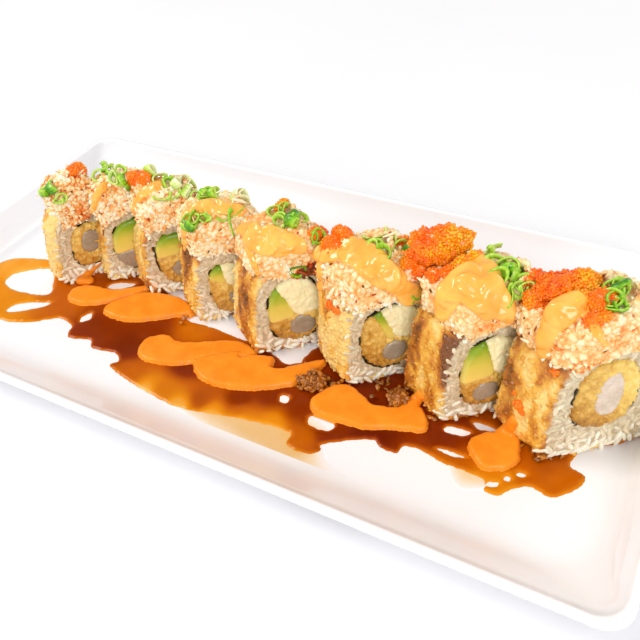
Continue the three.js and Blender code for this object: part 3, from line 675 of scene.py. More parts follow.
class Finishes:
    """All materials of the roll, made once."""

    def __init__(self) -> None:
        """Builds every finish."""
        self.porcelain = Porcelain().build()
        self.glaze = Glaze(
            "dark_glaze",
            shades(
                (0.0, 238, 184, 84), (0.2, 226, 138, 12), (0.5, 190, 92, 2), (0.78, 138, 48, 1),
                (1.0, 104, 26, 1),
            ),
        ).build()
        self.smear = Glaze(
            "glaze_smear", shades((0.05, 249, 247, 248), (0.45, 242, 216, 178), (0.95, 230, 180, 104)),
            0.5, 0.5,
        ).build()
        self.mayo = SpicyMayo().build()
        self.mayo_wet = SpicyMayo(
            "spicy_mayo_wet", srgb(254, 168, 58), srgb(255, 196, 90), srgb(230, 126, 36), 0.8
        ).build()
        self.rice_grain = RiceFinish("rice_grain").build()
        self.coat = CrumbFinish("crumb_coat").build()
        self.flake = CrumbFinish("crumb_flake").build()
        self.body = CoatAndRice().build()
        self.nori = RampFinish(
            "nori", "tint", shades((0.2, 16, 16, 10), (0.8, 46, 46, 30)), 2.5, 0.3, (0.3, 0.55), 0.2, 0.0, 0.2
        ).build()
        self.avocado = RampFinish(
            "avocado", "ripe",
            shades((0.0, 96, 134, 14), (0.25, 150, 176, 34), (0.6, 222, 204, 84), (1.0, 244, 214, 112)),
            4.0, 0.12, (0.25, 0.4), 0.12, 0.15, 0.3,
        ).build()
        self.cheese = RampFinish(
            "cream_cheese", "tint", shades((0.2, 252, 218, 140), (0.7, 255, 242, 190)),
            3.0, 0.25, (0.35, 0.5), 0.2, 0.25, 0.1,
        ).build()
        self.batter = RampFinish(
            "batter", "tint",
            shades((0.1, 124, 70, 16), (0.4, 208, 150, 56), (0.7, 250, 212, 110), (1.0, 255, 236, 168)),
            2.0, 0.35, (0.3, 0.6), 0.3, 0.15, 0.3,
        ).build()
        # The shrimp's grey-brown low stops are its colour in shade, so low tones paint shade into it.
        self.shrimp = RampFinish(
            "shrimp", "tint", shades((0.1, 140, 122, 98), (0.6, 190, 172, 146), (1.0, 244, 224, 206)),
            3.5, 0.2, (0.2, 0.35), 0.12, 0.35, 0.4,
        ).build()
        # Crab tones run from pale curds to the orange of the crevices, which is partly mayo and partly
        # painted shade, then to red flecks and fried brown.
        crab = shades(
            (0.0, 255, 246, 222), (0.3, 255, 230, 182), (0.46, 254, 202, 128), (0.66, 240, 142, 54),
            (0.85, 212, 80, 20), (1.0, 116, 56, 18),
        )
        self.crab_bed = RampFinish("crab_bed", "tint", crab, 2.4, 0.12, (0.25, 0.45), 0.2, 0.3, 0.3).build()
        self.crab = RampFinish("crab", "tint", crab, 1.6, 0.08, (0.25, 0.45), 0.1, 0.35, 0.3).build()
        self.roe = RampFinish(
            "roe", "tint",
            shades((0.0, 255, 104, 4), (0.4, 255, 138, 6), (0.75, 255, 178, 12), (1.0, 255, 208, 56)),
            1.2, 0.03, (0.2, 0.34), 0.03, 0.25, 0.35,
        ).build()
        self.scallion = RampFinish(
            "scallion", "pale",
            shades((0.0, 70, 134, 12), (0.25, 136, 196, 30), (0.6, 196, 226, 84), (1.0, 242, 246, 196)),
            2.0, 0.12, (0.2, 0.35), 0.06, 0.25, 0.35,
        ).build()


# Camera, light and floor


@dataclass(frozen=True)
class Studio:
    """Camera at the photograph's viewing angle, plain floor and soft light."""

    eye: Point = (132.54, -178.52, 204.48)
    angles: Point = (47.682, 4.290, 27.861)
    lens: float = 41.66
    sensor: float = 36.0
    frame_size: float = 640.0
    floor_size: float = 6000.0
    floor_colour: Colour = srgb(243, 242, 243)
    sky: float = 0.54

    def camera(self) -> None:
        """Adds the camera."""
        data = bpy.data.cameras.new("camera")
        data.lens = self.lens
        data.sensor_width = self.sensor
        data.clip_start = 0.01
        data.dof.use_dof = False
        obj = bpy.data.objects.new("camera", data)
        obj.location = Vector(self.eye) * MM
        obj.rotation_euler = Euler([math.radians(a) for a in self.angles], "XYZ")
        bpy.context.scene.collection.objects.link(obj)
        bpy.context.scene.camera = obj

    def ray(self, across: float, down: float) -> tuple[Vector, Vector]:
        """Start and direction of the sight line through a pixel of the 640 by 640 photograph."""
        turn = Euler([math.radians(a) for a in self.angles], "XYZ").to_matrix()
        reach = self.lens / self.sensor * self.frame_size
        half = self.frame_size / 2
        local = Vector((across - half, half - down, -reach))
        return Vector(self.eye), (turn @ local).normalized()

    def on_level(self, pixels: Sequence[tuple[float, float]], height: float) -> Ring:
        """Plate points, in millimetres, behind pixels of the photograph at one height.

        Args:
            pixels: pixels of the photograph.
            height: height of the level plane that they lie on.

        Returns:
            One point for each pixel.
        """
        found = []
        for across, down in pixels:
            start, look = self.ray(across, down)
            place = start + look * ((height - start.z) / look.z)
            found.append((place.x, place.y))
        return tuple(found)

    def area(self, name: str, place: Point, target: Point, size: float, power: float, tint: Colour) -> None:
        """Adds a square soft light that looks at a target, all in millimetres."""
        data = bpy.data.lights.new(name, "AREA")
        data.shape = "SQUARE"
        data.size = size * MM
        data.energy = power
        data.color = tint[:3]
        obj = bpy.data.objects.new(name, data)
        obj.location = Vector(place) * MM
        look = (Vector(target) - Vector(place)).normalized()
        obj.rotation_euler = look.to_track_quat("-Z", "Y").to_euler()
        bpy.context.scene.collection.objects.link(obj)

    def build(self) -> None:
        """Adds camera, lights, sky and floor."""
        self.camera()
        world = bpy.data.worlds.new("studio")
        world.use_nodes = True
        background = world.node_tree.nodes["Background"]
        background.inputs["Color"].default_value = (0.975, 0.98, 1.0, 1)
        background.inputs["Strength"].default_value = self.sky
        bpy.context.scene.world = world
        bpy.context.scene.view_settings.view_transform = "Standard"
        white = (1.0, 0.98, 0.95, 1.0)
        self.area("key", (-1300, -500, 1500), (0, 0, 20), 700, 20.0, white)
        self.area("front", (1000, -1300, 1000), (40, 0, 10), 900, 18.5, (0.94, 0.965, 1.0, 1.0))
        self.area("fill", (700, 1300, 1300), (0, 0, 20), 900, 7.0, white)
        shape = bmesh.new()
        bmesh.ops.create_grid(shape, x_segments=1, y_segments=1, size=self.floor_size / 2 * MM)
        floor = Workshop.from_bmesh("floor", shape)
        bench = NodeBench("floor")
        grain = bench.ramp(bench.noise(300), (0.3, srgb(240, 239, 240)), (0.7, self.floor_colour))
        bench.colour(grain)
        bench.set(Roughness=0.7)
        floor.data.materials.append(bench.material)


# Plate


@dataclass(frozen=True)
class PlateRing:
    """One rounded rectangle of the plate's section."""

    length: float
    width: float
    radius: float
    height: float


@dataclass
class Plate:
    """Rectangular porcelain plate with a thin raised lip."""

    length: float = 300.0
    width: float = 156.5
    height: float = 21.0
    floor_length: float = 274.0
    floor_width: float = 113.0
    foot_length: float = 276.0
    foot_width: float = 106.0
    lip: float = 3.2
    lip_depth: float = 3.0
    corner_steps: int = 14
    lip_steps: int = 6
    edge: float = 0.4
    edge_angle: float = 50.0
    cap_inset: float = 4.0

    def sections(self) -> list[PlateRing]:
        """Rings from the foot up the outside, over the lip and down to the floor."""
        rings = [
            PlateRing(self.foot_length - 6, self.foot_width - 6, 15, 0.0),
            PlateRing(self.foot_length - 1, self.foot_width - 1, 17, 0.0),
            PlateRing(self.foot_length + 2, self.foot_width + 2, 17.5, 0.5),
            PlateRing(self.foot_length + 5, self.foot_width + 5, 18, 1.4),
            PlateRing(self.length - 14, self.width - 14, 11, self.height - self.lip_depth - 5.0),
            PlateRing(self.length - 3.4, self.width - 3.4, 9, self.height - self.lip_depth - 0.9),
            PlateRing(self.length - 1.2, self.width - 1.2, 9, self.height - self.lip_depth),
        ]
        half_lip = self.lip / 2
        for step in range(self.lip_steps + 1):
            angle = math.pi * (1 - step / self.lip_steps)
            inward = half_lip + half_lip * math.cos(angle)
            rise = math.sin(angle) ** 0.7 * 1.5
            high = self.height - 1.5 + rise - (0.4 * step / self.lip_steps)
            rings.append(PlateRing(self.length - 2 * inward, self.width - 2 * inward, 9 - inward * 0.3, high))
        wall_top = rings[-1]
        low = PlateRing(self.floor_length + 7, self.floor_width + 9, 17, PLATE_FLOOR + 1.5)
        for share, dip in ((0.33, 0.5), (0.66, 0.5)):
            rings.append(
                PlateRing(
                    wall_top.length + (low.length - wall_top.length) * share,
                    wall_top.width + (low.width - wall_top.width) * share,
                    wall_top.radius + (low.radius - wall_top.radius) * share,
                    wall_top.height + (low.height - wall_top.height) * share - dip,
                )
            )
        rings.append(low)
        rings.append(PlateRing(self.floor_length + 2, self.floor_width + 3, 16.5, PLATE_FLOOR + 0.35))
        rings.append(PlateRing(self.floor_length - 3, self.floor_width - 3, 16, PLATE_FLOOR))
        return rings

    def place(self, ring: PlateRing, index: int) -> Vector:
        """Point of a ring by its number round the ring."""
        per_corner = self.corner_steps + 1
        corner, step = divmod(index, per_corner)
        signs = ((1, 1), (-1, 1), (-1, -1), (1, -1))[corner]
        angle = math.radians(90 * corner + 90 * step / self.corner_steps)
        x = signs[0] * (ring.length / 2 - ring.radius) + ring.radius * math.cos(angle)
        y = signs[1] * (ring.width / 2 - ring.radius) + ring.radius * math.sin(angle)
        return Vector((x, y, ring.height)) * MM

    def build(self, finishes: Finishes) -> None:
        """Makes the plate and hands it over."""
        shape, foot, top = Workshop.swept(4 * (self.corner_steps + 1), self.sections(), self.place)
        bmesh.ops.edgeloop_fill(shape, edges=foot)
        bmesh.ops.edgeloop_fill(shape, edges=top)
        bmesh.ops.recalc_face_normals(shape, faces=shape.faces)
        caps = [f for f in shape.faces if len(f.verts) > 4]
        bmesh.ops.inset_region(shape, faces=caps, thickness=self.cap_inset * MM, use_even_offset=True)
        plate = Workshop.from_bmesh("plate_glazed", shape)
        modifier = plate.modifiers.new("edge", "BEVEL")
        modifier.width = self.edge * MM
        modifier.segments = 2
        modifier.limit_method = "ANGLE"
        modifier.angle_limit = math.radians(self.edge_angle)
        Workshop.hand_over(plate, finishes.porcelain, "plate", "plate")


# Sauces on the plate


@dataclass(frozen=True)
class Outline:
    """Closed smooth line through points on the plate."""

    points: Ring
    steps: int = 6

    def curve(self) -> np.ndarray:
        """Points along the smooth line, one row each."""
        knots = np.array(self.points)
        before, after, later = np.roll(knots, 1, 0), np.roll(knots, -1, 0), np.roll(knots, -2, 0)
        rows = []
        for share in np.linspace(0, 1, self.steps, endpoint=False):
            square, cube = share ** 2, share ** 3
            rows.append(
                0.5 * (
                    2 * knots + (after - before) * share
                    + (2 * before - 5 * knots + 4 * after - later) * square
                    + (3 * knots - before - 3 * after + later) * cube
                )
            )
        return np.stack(rows, 1).reshape(-1, 2)

    def inside(self, places: np.ndarray) -> np.ndarray:
        """Distance of places inside the line in millimetres, below zero outside."""
        start = self.curve()
        end = np.roll(start, -1, 0)
        along = end - start
        near = np.full(len(places), np.inf)
        odd = np.zeros(len(places), bool)
        for a, b, d in zip(start, end, along):
            share = np.clip(((places - a) @ d) / max(d @ d, 1e-9), 0, 1)
            near = np.minimum(near, ((places - a - share[:, None] * d) ** 2).sum(1))
            crosses = (a[1] > places[:, 1]) != (b[1] > places[:, 1])
            if crosses.any():
                cut = a[0] + (places[crosses, 1] - a[1]) / (b[1] - a[1]) * d[0]
                odd[crosses] ^= places[crosses, 0] < cut
        return np.sqrt(near) * np.where(odd, 1, -1)


@dataclass
class Spill:
    """Sauce that lies on the plate, as a sheet that dips under the plate's surface at its edge."""

    name: str
    outline: Outline
    holes: tuple[Outline, ...] = ()
    tones: tuple[Point, ...] = ()
    base: float = PLATE_FLOOR
    height: float = 0.9
    meniscus: float = 3.0
    roundness: float = 2.0
    edge_tone: float = 0.5
    edge_width: float = 2.0
    grid: float = 0.7
    swell: float = 0.0
    margin: float = 2.0
    frill: float = 0.35

    def tone(self, places: np.ndarray, inside: np.ndarray) -> np.ndarray:
        """Depth tone: 0 for a film and 1 where the sauce is dark.

        Args:
            places: points on the plate, one row each.
            inside: their distance inside the outline.

        Returns:
            The tone at each point.
        """
        if not self.tones:
            return np.clip(inside / self.edge_width, 0, 1)
        spots = np.array(self.tones)
        apart = ((places[:, None] - spots[None, :, :2]) ** 2).sum(2)
        weights = 1 / (apart + 9.0) ** 2
        level = (weights * spots[:, 2]).sum(1) / weights.sum(1)
        return level * (1 - self.edge_tone * np.clip(1 - inside / self.edge_width, 0, 1) ** 1.5)

    def build(self, finish: bpy.types.Material, slot: str, *nodes: str) -> None:
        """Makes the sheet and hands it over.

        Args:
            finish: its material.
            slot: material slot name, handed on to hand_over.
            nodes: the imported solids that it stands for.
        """
        curve = self.outline.curve()
        low, high = curve.min(0) - self.margin, curve.max(0) + self.margin
        steps = ((high - low) / self.grid).astype(int)
        shape = bmesh.new()
        bmesh.ops.create_grid(shape, x_segments=int(steps[0]), y_segments=int(steps[1]), size=0.5)
        places = (np.array([v.co for v in shape.verts])[:, :2] + 0.5) * (high - low) + low
        inside = self.outline.inside(places)
        for hole in self.holes:
            inside = np.minimum(inside, -hole.inside(places))
        inside += self.frill * np.array([fractal(Vector((a, b, 3)), 2.6, 2) for a, b in places])
        share = np.clip(inside / self.meniscus, 0, 1)
        rise = self.height * (1 - (1 - share) ** self.roundness) ** (1 / self.roundness)
        waves = np.array([fractal(Vector((a, b, 0)), 12, 2) for a, b in places]) * self.swell * share
        rise = np.where(inside > 0, rise + waves, np.maximum(inside, -1.0) * 0.6)
        layer = shape.verts.layers.float.new("depth")
        tones = self.tone(places, inside)
        for vertex, (a, b), up, tone, gap in zip(shape.verts, places, rise, tones, inside):
            vertex.co = Vector((a, b, self.base + up)) * MM
            vertex[layer] = tone
            vertex.tag = bool(gap < -0.8 * self.grid)
        outside = [f for f in shape.faces if all(v.tag for v in f.verts)]
        bmesh.ops.delete(shape, geom=outside, context="FACES")
        Workshop.piece(self.name, shape, finish, slot, *nodes)


# Outlines of the sauces are pixels of the photograph, turned into plate points by its camera.

POOL_EDGE: Ring = (
    (53, 259), (22, 257), (0, 262), (-18, 278), (-20, 296), (0, 318), (30, 321), (57, 317), (71, 324),
    (68, 336), (90, 339), (92, 347), (115, 352), (118, 360), (110, 366), (140, 387), (180, 407), (240, 418),
    (288, 431), (286, 443), (305, 453), (321, 450), (323, 443), (370, 438), (380, 446), (396, 452),
    (404, 445), (421, 449), (445, 463), (483, 478), (484, 489), (498, 494), (512, 488), (530, 486),
    (552, 496), (575, 489), (585, 476), (570, 463), (590, 444), (612, 444), (630, 438), (625, 426),
    (590, 415), (520, 380), (440, 362), (360, 332), (322, 344), (305, 356), (300, 362), (286, 363),
    (276, 356), (258, 343), (240, 338), (213, 327), (187, 319), (181, 306), (150, 280), (110, 266),
    (80, 259),
)
POOL_HOLES: tuple[Ring, ...] = (
    ((5, 281), (17, 272), (50, 268), (53, 282), (46, 294), (14, 289)),
    ((6, 309), (22, 302), (50, 302), (38, 307), (12, 311)),
    ((80, 321), (82, 316), (91, 312), (90, 318)),
    ((107, 287), (116, 282), (136, 283), (122, 288)),
    ((280, 400), (281, 394), (289, 396), (286, 402)),
    ((308, 421), (311, 415), (322, 417), (335, 424), (328, 430), (313, 426)),
    ((445, 430), (449, 425), (470, 431), (462, 435)),
    ((436, 448), (446, 449), (468, 457), (452, 455)),
    ((485, 484), (490, 481), (499, 482), (495, 487)),
    ((503, 478), (508, 475), (512, 478), (508, 481)),
    ((516, 474), (520, 471), (527, 474), (521, 477)),
    ((472, 421), (486, 424), (499, 430), (480, 429)),
)
POOL_TONES: tuple[Point, ...] = (
    (30, 262, 0.15), (10, 300, 0.25), (60, 300, 0.5), (100, 330, 0.85), (130, 345, 0.95), (150, 330, 0.8),
    (200, 330, 0.45), (225, 335, 0.5), (130, 375, 0.5), (160, 392, 0.4), (200, 400, 0.65), (240, 400, 0.85),
    (240, 412, 0.5), (270, 395, 0.85), (300, 410, 0.8), (330, 435, 0.85), (300, 442, 0.5), (370, 430, 1.0),
    (440, 440, 0.9), (440, 458, 0.5), (500, 480, 0.3), (530, 478, 0.5), (560, 480, 0.5), (545, 465, 0.62),
    (145, 391, 0.08), (180, 405, 0.1), (210, 413, 0.12), (240, 418, 0.15), (270, 425, 0.2), (190, 365, 0.9),
    (340, 395, 0.95), (120, 300, 0.7), (460, 350, 0.95), (265, 358, 0.8),
)
SMEARS: tuple[tuple[Ring, tuple[Point, ...]], ...] = (
    (
        (
            (160, 396), (183, 414), (220, 440), (260, 466), (300, 489), (337, 509), (360, 514), (383, 507),
            (374, 490), (333, 468), (323, 446), (330, 430), (280, 400), (220, 395),
        ),
        (
            (200, 420, 0.9), (230, 430, 0.85), (270, 450, 0.85), (300, 475, 0.6), (330, 500, 0.3),
            (360, 505, 0.12), (300, 440, 0.95),
        ),
    ),
    (
        ((448, 460), (447, 470), (458, 489), (486, 489), (492, 478), (465, 455)),
        ((460, 468, 0.85), (465, 484, 0.7), (485, 480, 0.9)),
    ),
)
PUDDLES: tuple[tuple[Ring, ...], ...] = (
    (
        (
            (67, 296), (76, 287), (92, 285), (115, 289), (147, 285), (147, 289), (118, 299), (90, 303),
            (74, 302),
        ),
    ),
    (
        (
            (103, 309), (118, 299), (145, 292), (172, 295), (190, 303), (192, 312), (175, 315), (135, 320),
            (112, 316),
        ),
    ),
    (
        (
            (193, 364), (196, 359), (224, 352), (242, 351), (240, 357), (252, 354), (273, 357), (273, 367),
            (300, 366), (324, 359), (322, 366), (303, 379), (280, 386), (240, 388), (207, 381), (195, 371),
        ),
        (
            (137, 350), (147, 337), (168, 334), (182, 341), (235, 340), (255, 349), (250, 355), (215, 359),
            (172, 363), (145, 359),
        ),
    ),
    (
        (
            (310, 402), (312, 397), (332, 385), (350, 385), (364, 395), (375, 404), (402, 407), (420, 406),
            (427, 418), (424, 430), (388, 427), (365, 427), (335, 419), (314, 411),
        ),
    ),
    (
        (
            (468, 446), (472, 437), (486, 432), (502, 430), (513, 424), (518, 432), (521, 452), (514, 464),
            (497, 469), (480, 465),
        ),
    ),
)


@dataclass
class Sauces:
    """Dark glaze and spicy mayonnaise on the plate."""

    studio: Studio
    pool_level: float = 6.6
    smear_level: float = 6.2
    puddle_level: float = 8.2
    puddle_rise: float = 2.3

    def outline(self, ring: Ring, level: float) -> Outline:
        """Smooth line on the plate through pixels of the photograph."""
        return Outline(self.studio.on_level(ring, level))

    def tones(self, rows: tuple[Point, ...], level: float) -> tuple[Point, ...]:
        """Tones at plate points from tones at pixels."""
        places = self.studio.on_level([row[:2] for row in rows], level)
        return tuple((*place, row[2]) for place, row in zip(places, rows))

    def build(self, finishes: Finishes) -> None:
        """Makes the pool, its faint smears and the puddles."""
        holes = tuple(self.outline(h, self.pool_level) for h in POOL_HOLES)
        Spill(
            "glaze_pool", self.outline(POOL_EDGE, self.pool_level), holes,
            self.tones(POOL_TONES, self.pool_level), height=0.75, meniscus=2.4, edge_width=1.4,
        ).build(finishes.glaze, "dark_sauce", "sauce_pool")
        for number, (edge, rows) in enumerate(SMEARS, 1):
            Spill(
                f"glaze_smear_{number}", self.outline(edge, self.smear_level),
                tones=self.tones(rows, self.smear_level), height=0.12, meniscus=1.5, edge_tone=1.0,
                edge_width=9.0, grid=1.0,
            ).build(finishes.smear, "dark_sauce")
        for number, edges in enumerate(PUDDLES, 1):
            for part, edge in enumerate(edges):
                Spill(
                    f"mayo_puddle_{number}{'ab'[part]}", self.outline(edge, self.puddle_level),
                    base=PLATE_FLOOR + 0.5, height=self.puddle_rise - 0.3 * part, meniscus=1.6, roundness=3.0,
                    grid=0.5, swell=0.3,
                ).build(finishes.mayo, "spicy_mayo", *((f"mayo_{number}",) if part == 0 else ()))


# Scattered pieces


@dataclass
class Seedbed:
    """Points on a mesh for scattered pieces, in millimetres."""

    points: np.ndarray
    normals: np.ndarray

    @classmethod
    def on(cls, shape: bmesh.types.BMesh, count: int, seed: int) -> "Seedbed":
        """Random points spread evenly by area over a mesh in metres."""
        rng = np.random.default_rng(seed)
        faces = [[v.co / MM for v in f.verts] for f in shape.faces]
        normals = np.array([f.normal for f in shape.faces])
        areas = np.array([f.calc_area() for f in shape.faces])
        picks = rng.choice(len(faces), count, p=areas / areas.sum())
        places = []
        for pick in picks:
            corners = faces[pick]
            weights = rng.dirichlet([1.0] * len(corners))
            places.append(sum((c * w for c, w in zip(corners, weights)), Vector((0, 0, 0))))
        return cls(np.array(places), normals[picks])

    def kept(self, test: Callable[[Vector, Vector], bool]) -> "Seedbed":
        """The points that pass a test of place and normal."""
        return self.pick([test(Vector(p), Vector(n)) for p, n in zip(self.points, self.normals)])

    def pick(self, chosen: Sequence[bool] | np.ndarray) -> "Seedbed":
        """The points that a mask or an order chooses."""
        return Seedbed(self.points[chosen], self.normals[chosen])

    def mask(self, gap: float) -> np.ndarray:
        """True for each point that keeps a distance from those before it."""
        cells: dict[tuple[int, int, int], list[np.ndarray]] = {}
        mask = np.zeros(len(self.points), bool)
        for index, place in enumerate(self.points):
            key = tuple(int(math.floor(c / gap)) for c in place)
            near = (
                other
                for i in (-1, 0, 1) for j in (-1, 0, 1) for k in (-1, 0, 1)
                for other in cells.get((key[0] + i, key[1] + j, key[2] + k), ())
            )
            if all(((other - place) ** 2).sum() >= gap * gap for other in near):
                cells.setdefault(key, []).append(place)
                mask[index] = True
        return mask

    def thinned(self, gap: float) -> "Seedbed":
        """The points that keep a distance from those before them."""
        return self.pick(self.mask(gap))

    @staticmethod
    def joined(beds: Sequence["Seedbed"]) -> "Seedbed":
        """Several sets of points as one."""
        return Seedbed(np.concatenate([b.points for b in beds]), np.concatenate([b.normals for b in beds]))


class GrainForm(Enum):
    """Low shapes that scattered pieces are copied from."""

    GRAIN = "grain"
    CHIP = "chip"
    CURD = "curd"


@dataclass
class Scatter:
    """Thousands of small pieces joined into one mesh."""

    name: str
    form: GrainForm
    bed: Seedbed
    size: Point
    vary: float
    sink: float | np.ndarray
    tilt: float
    seed: int
    tones: np.ndarray
    tone_name: str = "tint"
    ragged: float = 0.35

    def template(self) -> tuple[np.ndarray, np.ndarray]:
        """Points and triangles of one piece with radius 1."""
        shape = bmesh.new()
        if self.form is GrainForm.GRAIN:
            upright = Matrix.Rotation(math.pi / 2, 4, "Y")
            bmesh.ops.create_uvsphere(shape, u_segments=6, v_segments=5, radius=1.0, matrix=upright)
        elif self.form is GrainForm.CURD:
            bmesh.ops.create_uvsphere(shape, u_segments=6, v_segments=4, radius=1.0)
        else:
            bmesh.ops.create_icosphere(shape, subdivisions=1, radius=1.0)
        bmesh.ops.triangulate(shape, faces=shape.faces)
        points = np.array([v.co for v in shape.verts])
        corners = np.array([[v.index for v in f.verts] for f in shape.faces])
        shape.free()
        return points, corners

    def build(self, finish: bpy.types.Material, slot: str) -> None:
        """Makes the joined mesh and hands it over with its finish and a material slot name."""
        rng = np.random.default_rng(self.seed)
        base, corners = self.template()
        count = len(self.bed.points)
        up = self.bed.normals + rng.normal(0, self.tilt, (count, 3))
        up /= np.linalg.norm(up, axis=1, keepdims=True)
        along = np.cross(up, rng.normal(0, 1, (count, 3)))
        along /= np.linalg.norm(along, axis=1, keepdims=True)
        aside = np.cross(up, along)
        sizes = np.array(self.size) / 2 * (1 + self.vary * rng.uniform(-1, 1, (count, 3)))
        shapes = np.repeat(base[None], count, axis=0)
        if self.form in (GrainForm.CHIP, GrainForm.CURD):
            shapes = shapes * (1 + self.ragged * rng.uniform(-1, 1, (count, len(base), 1)))
        shapes = shapes * sizes[:, None, :]
        axes = np.stack([along, aside, up], axis=2)
        placed = np.einsum("nij,nvj->nvi", axes, shapes)
        rise = sizes[:, 2] * (1 - 2 * np.broadcast_to(self.sink, count))
        centres = self.bed.points + self.bed.normals * rise[:, None]
        points = (placed + centres[:, None, :]).reshape(-1, 3) * MM
        faces = (corners[None] + (np.arange(count) * len(base))[:, None, None]).reshape(-1, 3)
        obj = Workshop.from_arrays(self.name, points, faces)
        Workshop.paint(obj, self.tone_name, np.repeat(self.tones, len(base)))
        Workshop.hand_over(obj, finish, slot)


# Roll


def soaked(seat: SliceSeat, place: Vector) -> float:
    """How far sauce has soaked the crumbs at a point, from 0 to 1.

    Args:
        seat: the slice.
        place: world point in millimetres.

    Returns:
        0 for dry and 1 for dark brown.
    """
    height = seat.to_local(place)[2]
    patches = fractal(Vector((place[0], place[1], place[2] * 0.4)), 10, 3, seat.number)
    foot = 0.4 * (1 - soft_step(height, 1.0, 5.0))
    under_topping = 0.25 * soft_step(height, seat.tall - 16, seat.tall - 4)
    level = seat.soak + 0.85 * patches + foot + under_topping * seat.soak * 2 - 0.12
    return min(1.0, max(0.0, level))


@dataclass
class SliceMaker:
    """One slice: rice with its crumb coat, seaweed, fillings and topping core."""

    seat: SliceSeat
    voxel: float = 0.6
    leaf: float = 0.65
    snug: float = 0.6
    drawn_in: float = 2.5
    curd_voxel: float = 0.42
    curd: float = 2.3
    core: Optional[bmesh.types.BMesh] = None
    crown: Optional[bmesh.types.BMesh] = None

    def node(self, kind: str) -> str:
        """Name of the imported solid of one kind."""
        return f"{kind}_{self.seat.number}"

    def has(self, kind: str) -> bool:
        """Whether this slice holds a filling of that kind."""
        return self.node(kind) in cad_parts

    def build_rice(self, finishes: Finishes) -> None:
        """Rice body whose side carries the crumb relief."""
        seat = self.seat
        shape = Workshop.core_of(self.node("rice"), self.voxel, 3)

        def height(place: Vector, normal: Vector) -> float:
            """Relief: crumbs on the side, grain hollows on the cut faces."""
            face = abs(normal.dot(seat.normal()))
            _, side, up = seat.to_local(place)
            if face < 0.6 and seat.ring_gap(side, up) < 0.9:
                return 0.0
            crumbs = 0.6 * fractal(place, 4.5, 3, seat.number) + 0.35 * lumps(place, 2.0, seat.number) - 0.3
            mush = 0.5 * lumps(place, 2.6, 9) - 0.55
            return crumbs * (1 - face) + mush * face

        Workshop.roughened(shape, height)
        self.close_ring(shape)
        shape.normal_update()
        self.core = shape.copy()
        self.core.normal_update()
        soak = [soaked(seat, v.co / MM) for v in shape.verts]
        grey = [self.bed_share(v.co / MM, v.normal) for v in shape.verts]
        Workshop.piece(
            f"rice_and_coat_{seat.number}", shape, finishes.body, "rice", self.node("rice"),
            soak=soak, bed=grey,
        )

    def close_ring(self, shape: bmesh.types.BMesh) -> None:
        """Draws the rice in towards the seaweed, and over it in stretches."""
        seat = self.seat
        middle_up, middle_side = seat.ring[:2]
        for vertex in shape.verts:
            across, side, up = seat.to_local(vertex.co / MM)
            gap = seat.ring_gap(side, up)
            if gap > self.drawn_in:
                continue
            inward = Vector((middle_side - side, middle_up - up)).normalized()
            pull = (0.45 + 1.0 * self.hidden(side, up)) * (1 - max(gap, 0.0) / self.drawn_in)
            vertex.co = seat.to_world(across, side + inward.x * pull, up + inward.y * pull) * MM

    def hidden(self, side: float, up: float) -> float:
        """How far rice closes over the seaweed at a point of the ring, from 0 to 1."""
        return soft_step(fractal(Vector((side, up, 0)), 7, 2, self.seat.number + 0.5), -0.2, 0.1)

    def bed_share(self, place: Vector, normal: Vector) -> float:
        """1 where a cut face shows rice and 0 on the crumb coat."""
        _, _, face, inset = self.seat.lie(place, normal)
        return soft_step(face, 0.45, 0.8) * soft_step(inset + 0.9 * fractal(place, 3, 2, 5), 1.4, 2.6)

    def build_nori(self, finishes: Finishes) -> None:
        """Seaweed tube as a thin wavy band."""
        seat = self.seat
        steps = 72
        half = seat.thick / 2

        def place(loop: tuple[float, float], index: int) -> Vector:
            """Point of the band by its loop and its number round the ring."""
            inward, across = loop
            up, shift, wide, high = seat.ring
            angle = index / steps * math.tau
            cos, sin = math.cos(angle), math.sin(angle)
            side, level = (math.copysign(abs(c) ** 0.8, c) for c in (cos, sin))
            wobble = 1 + 0.03 * math.sin(2 * angle + seat.number)
            wobble += 0.025 * math.sin(3 * angle + 2 * seat.number)
            wave = 0.22 * math.sin(9 * angle + seat.number) + 0.15 * math.sin(17 * angle)
            closed = self.hidden(side * wide + shift, level * high + up)
            ends = 0.3 - 0.3 * math.sin(7 * angle) + 1.2 * closed
            return seat.to_world(
                across - math.copysign(ends, across),
                side * (wide * wobble - inward + wave) + shift,
                level * (high * wobble - inward + wave) + up,
            ) * MM

        loops = ((0.1, half), (self.leaf, half), (self.leaf, -half), (0.1, -half))
        shape, first, last = Workshop.swept(steps, loops, place)
        bmesh.ops.bridge_loops(shape, edges=first + last)
        bmesh.ops.recalc_face_normals(shape, faces=shape.faces)
        tint = [0.5 + 0.5 * fractal(v.co / MM, 6, 2) for v in shape.verts]
        Workshop.piece(
            f"seaweed_{seat.number}", shape, finishes.nori, "nori", self.node("nori"), smooth=False, tint=tint
        )

    def filling(
        self, kind: str, name: str, finish: bpy.types.Material, slot: str, attribute: str,
        relief: tuple[float, float], tone: Callable[[Point], float],
    ) -> None:
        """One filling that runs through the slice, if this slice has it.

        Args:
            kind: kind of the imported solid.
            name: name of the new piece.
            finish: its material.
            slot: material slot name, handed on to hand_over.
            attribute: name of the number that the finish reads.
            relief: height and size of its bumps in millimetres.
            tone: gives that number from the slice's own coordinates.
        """
        if not self.has(kind):
            return
        seat = self.seat
        shape = Workshop.core_of(self.node(kind), 0.45, 3)
        Workshop.roughened(
            shape, lambda place, _: relief[0] * fractal(place, relief[1], 3, seat.number) + self.snug
        )
        tones = {attribute: [tone(seat.to_local(v.co / MM)) for v in shape.verts]}
        Workshop.piece(f"{name}_{seat.number}", shape, finish, slot, self.node(kind), **tones)

    def build_fillings(self, finishes: Finishes) -> None:
        """Avocado, cream cheese, batter and shrimp."""
        seat = self.seat
        up, shift = seat.ring[:2]
        if self.has("avocado"):
            low, top = (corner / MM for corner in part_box(self.node("avocado")))
            span = top.z - low.z

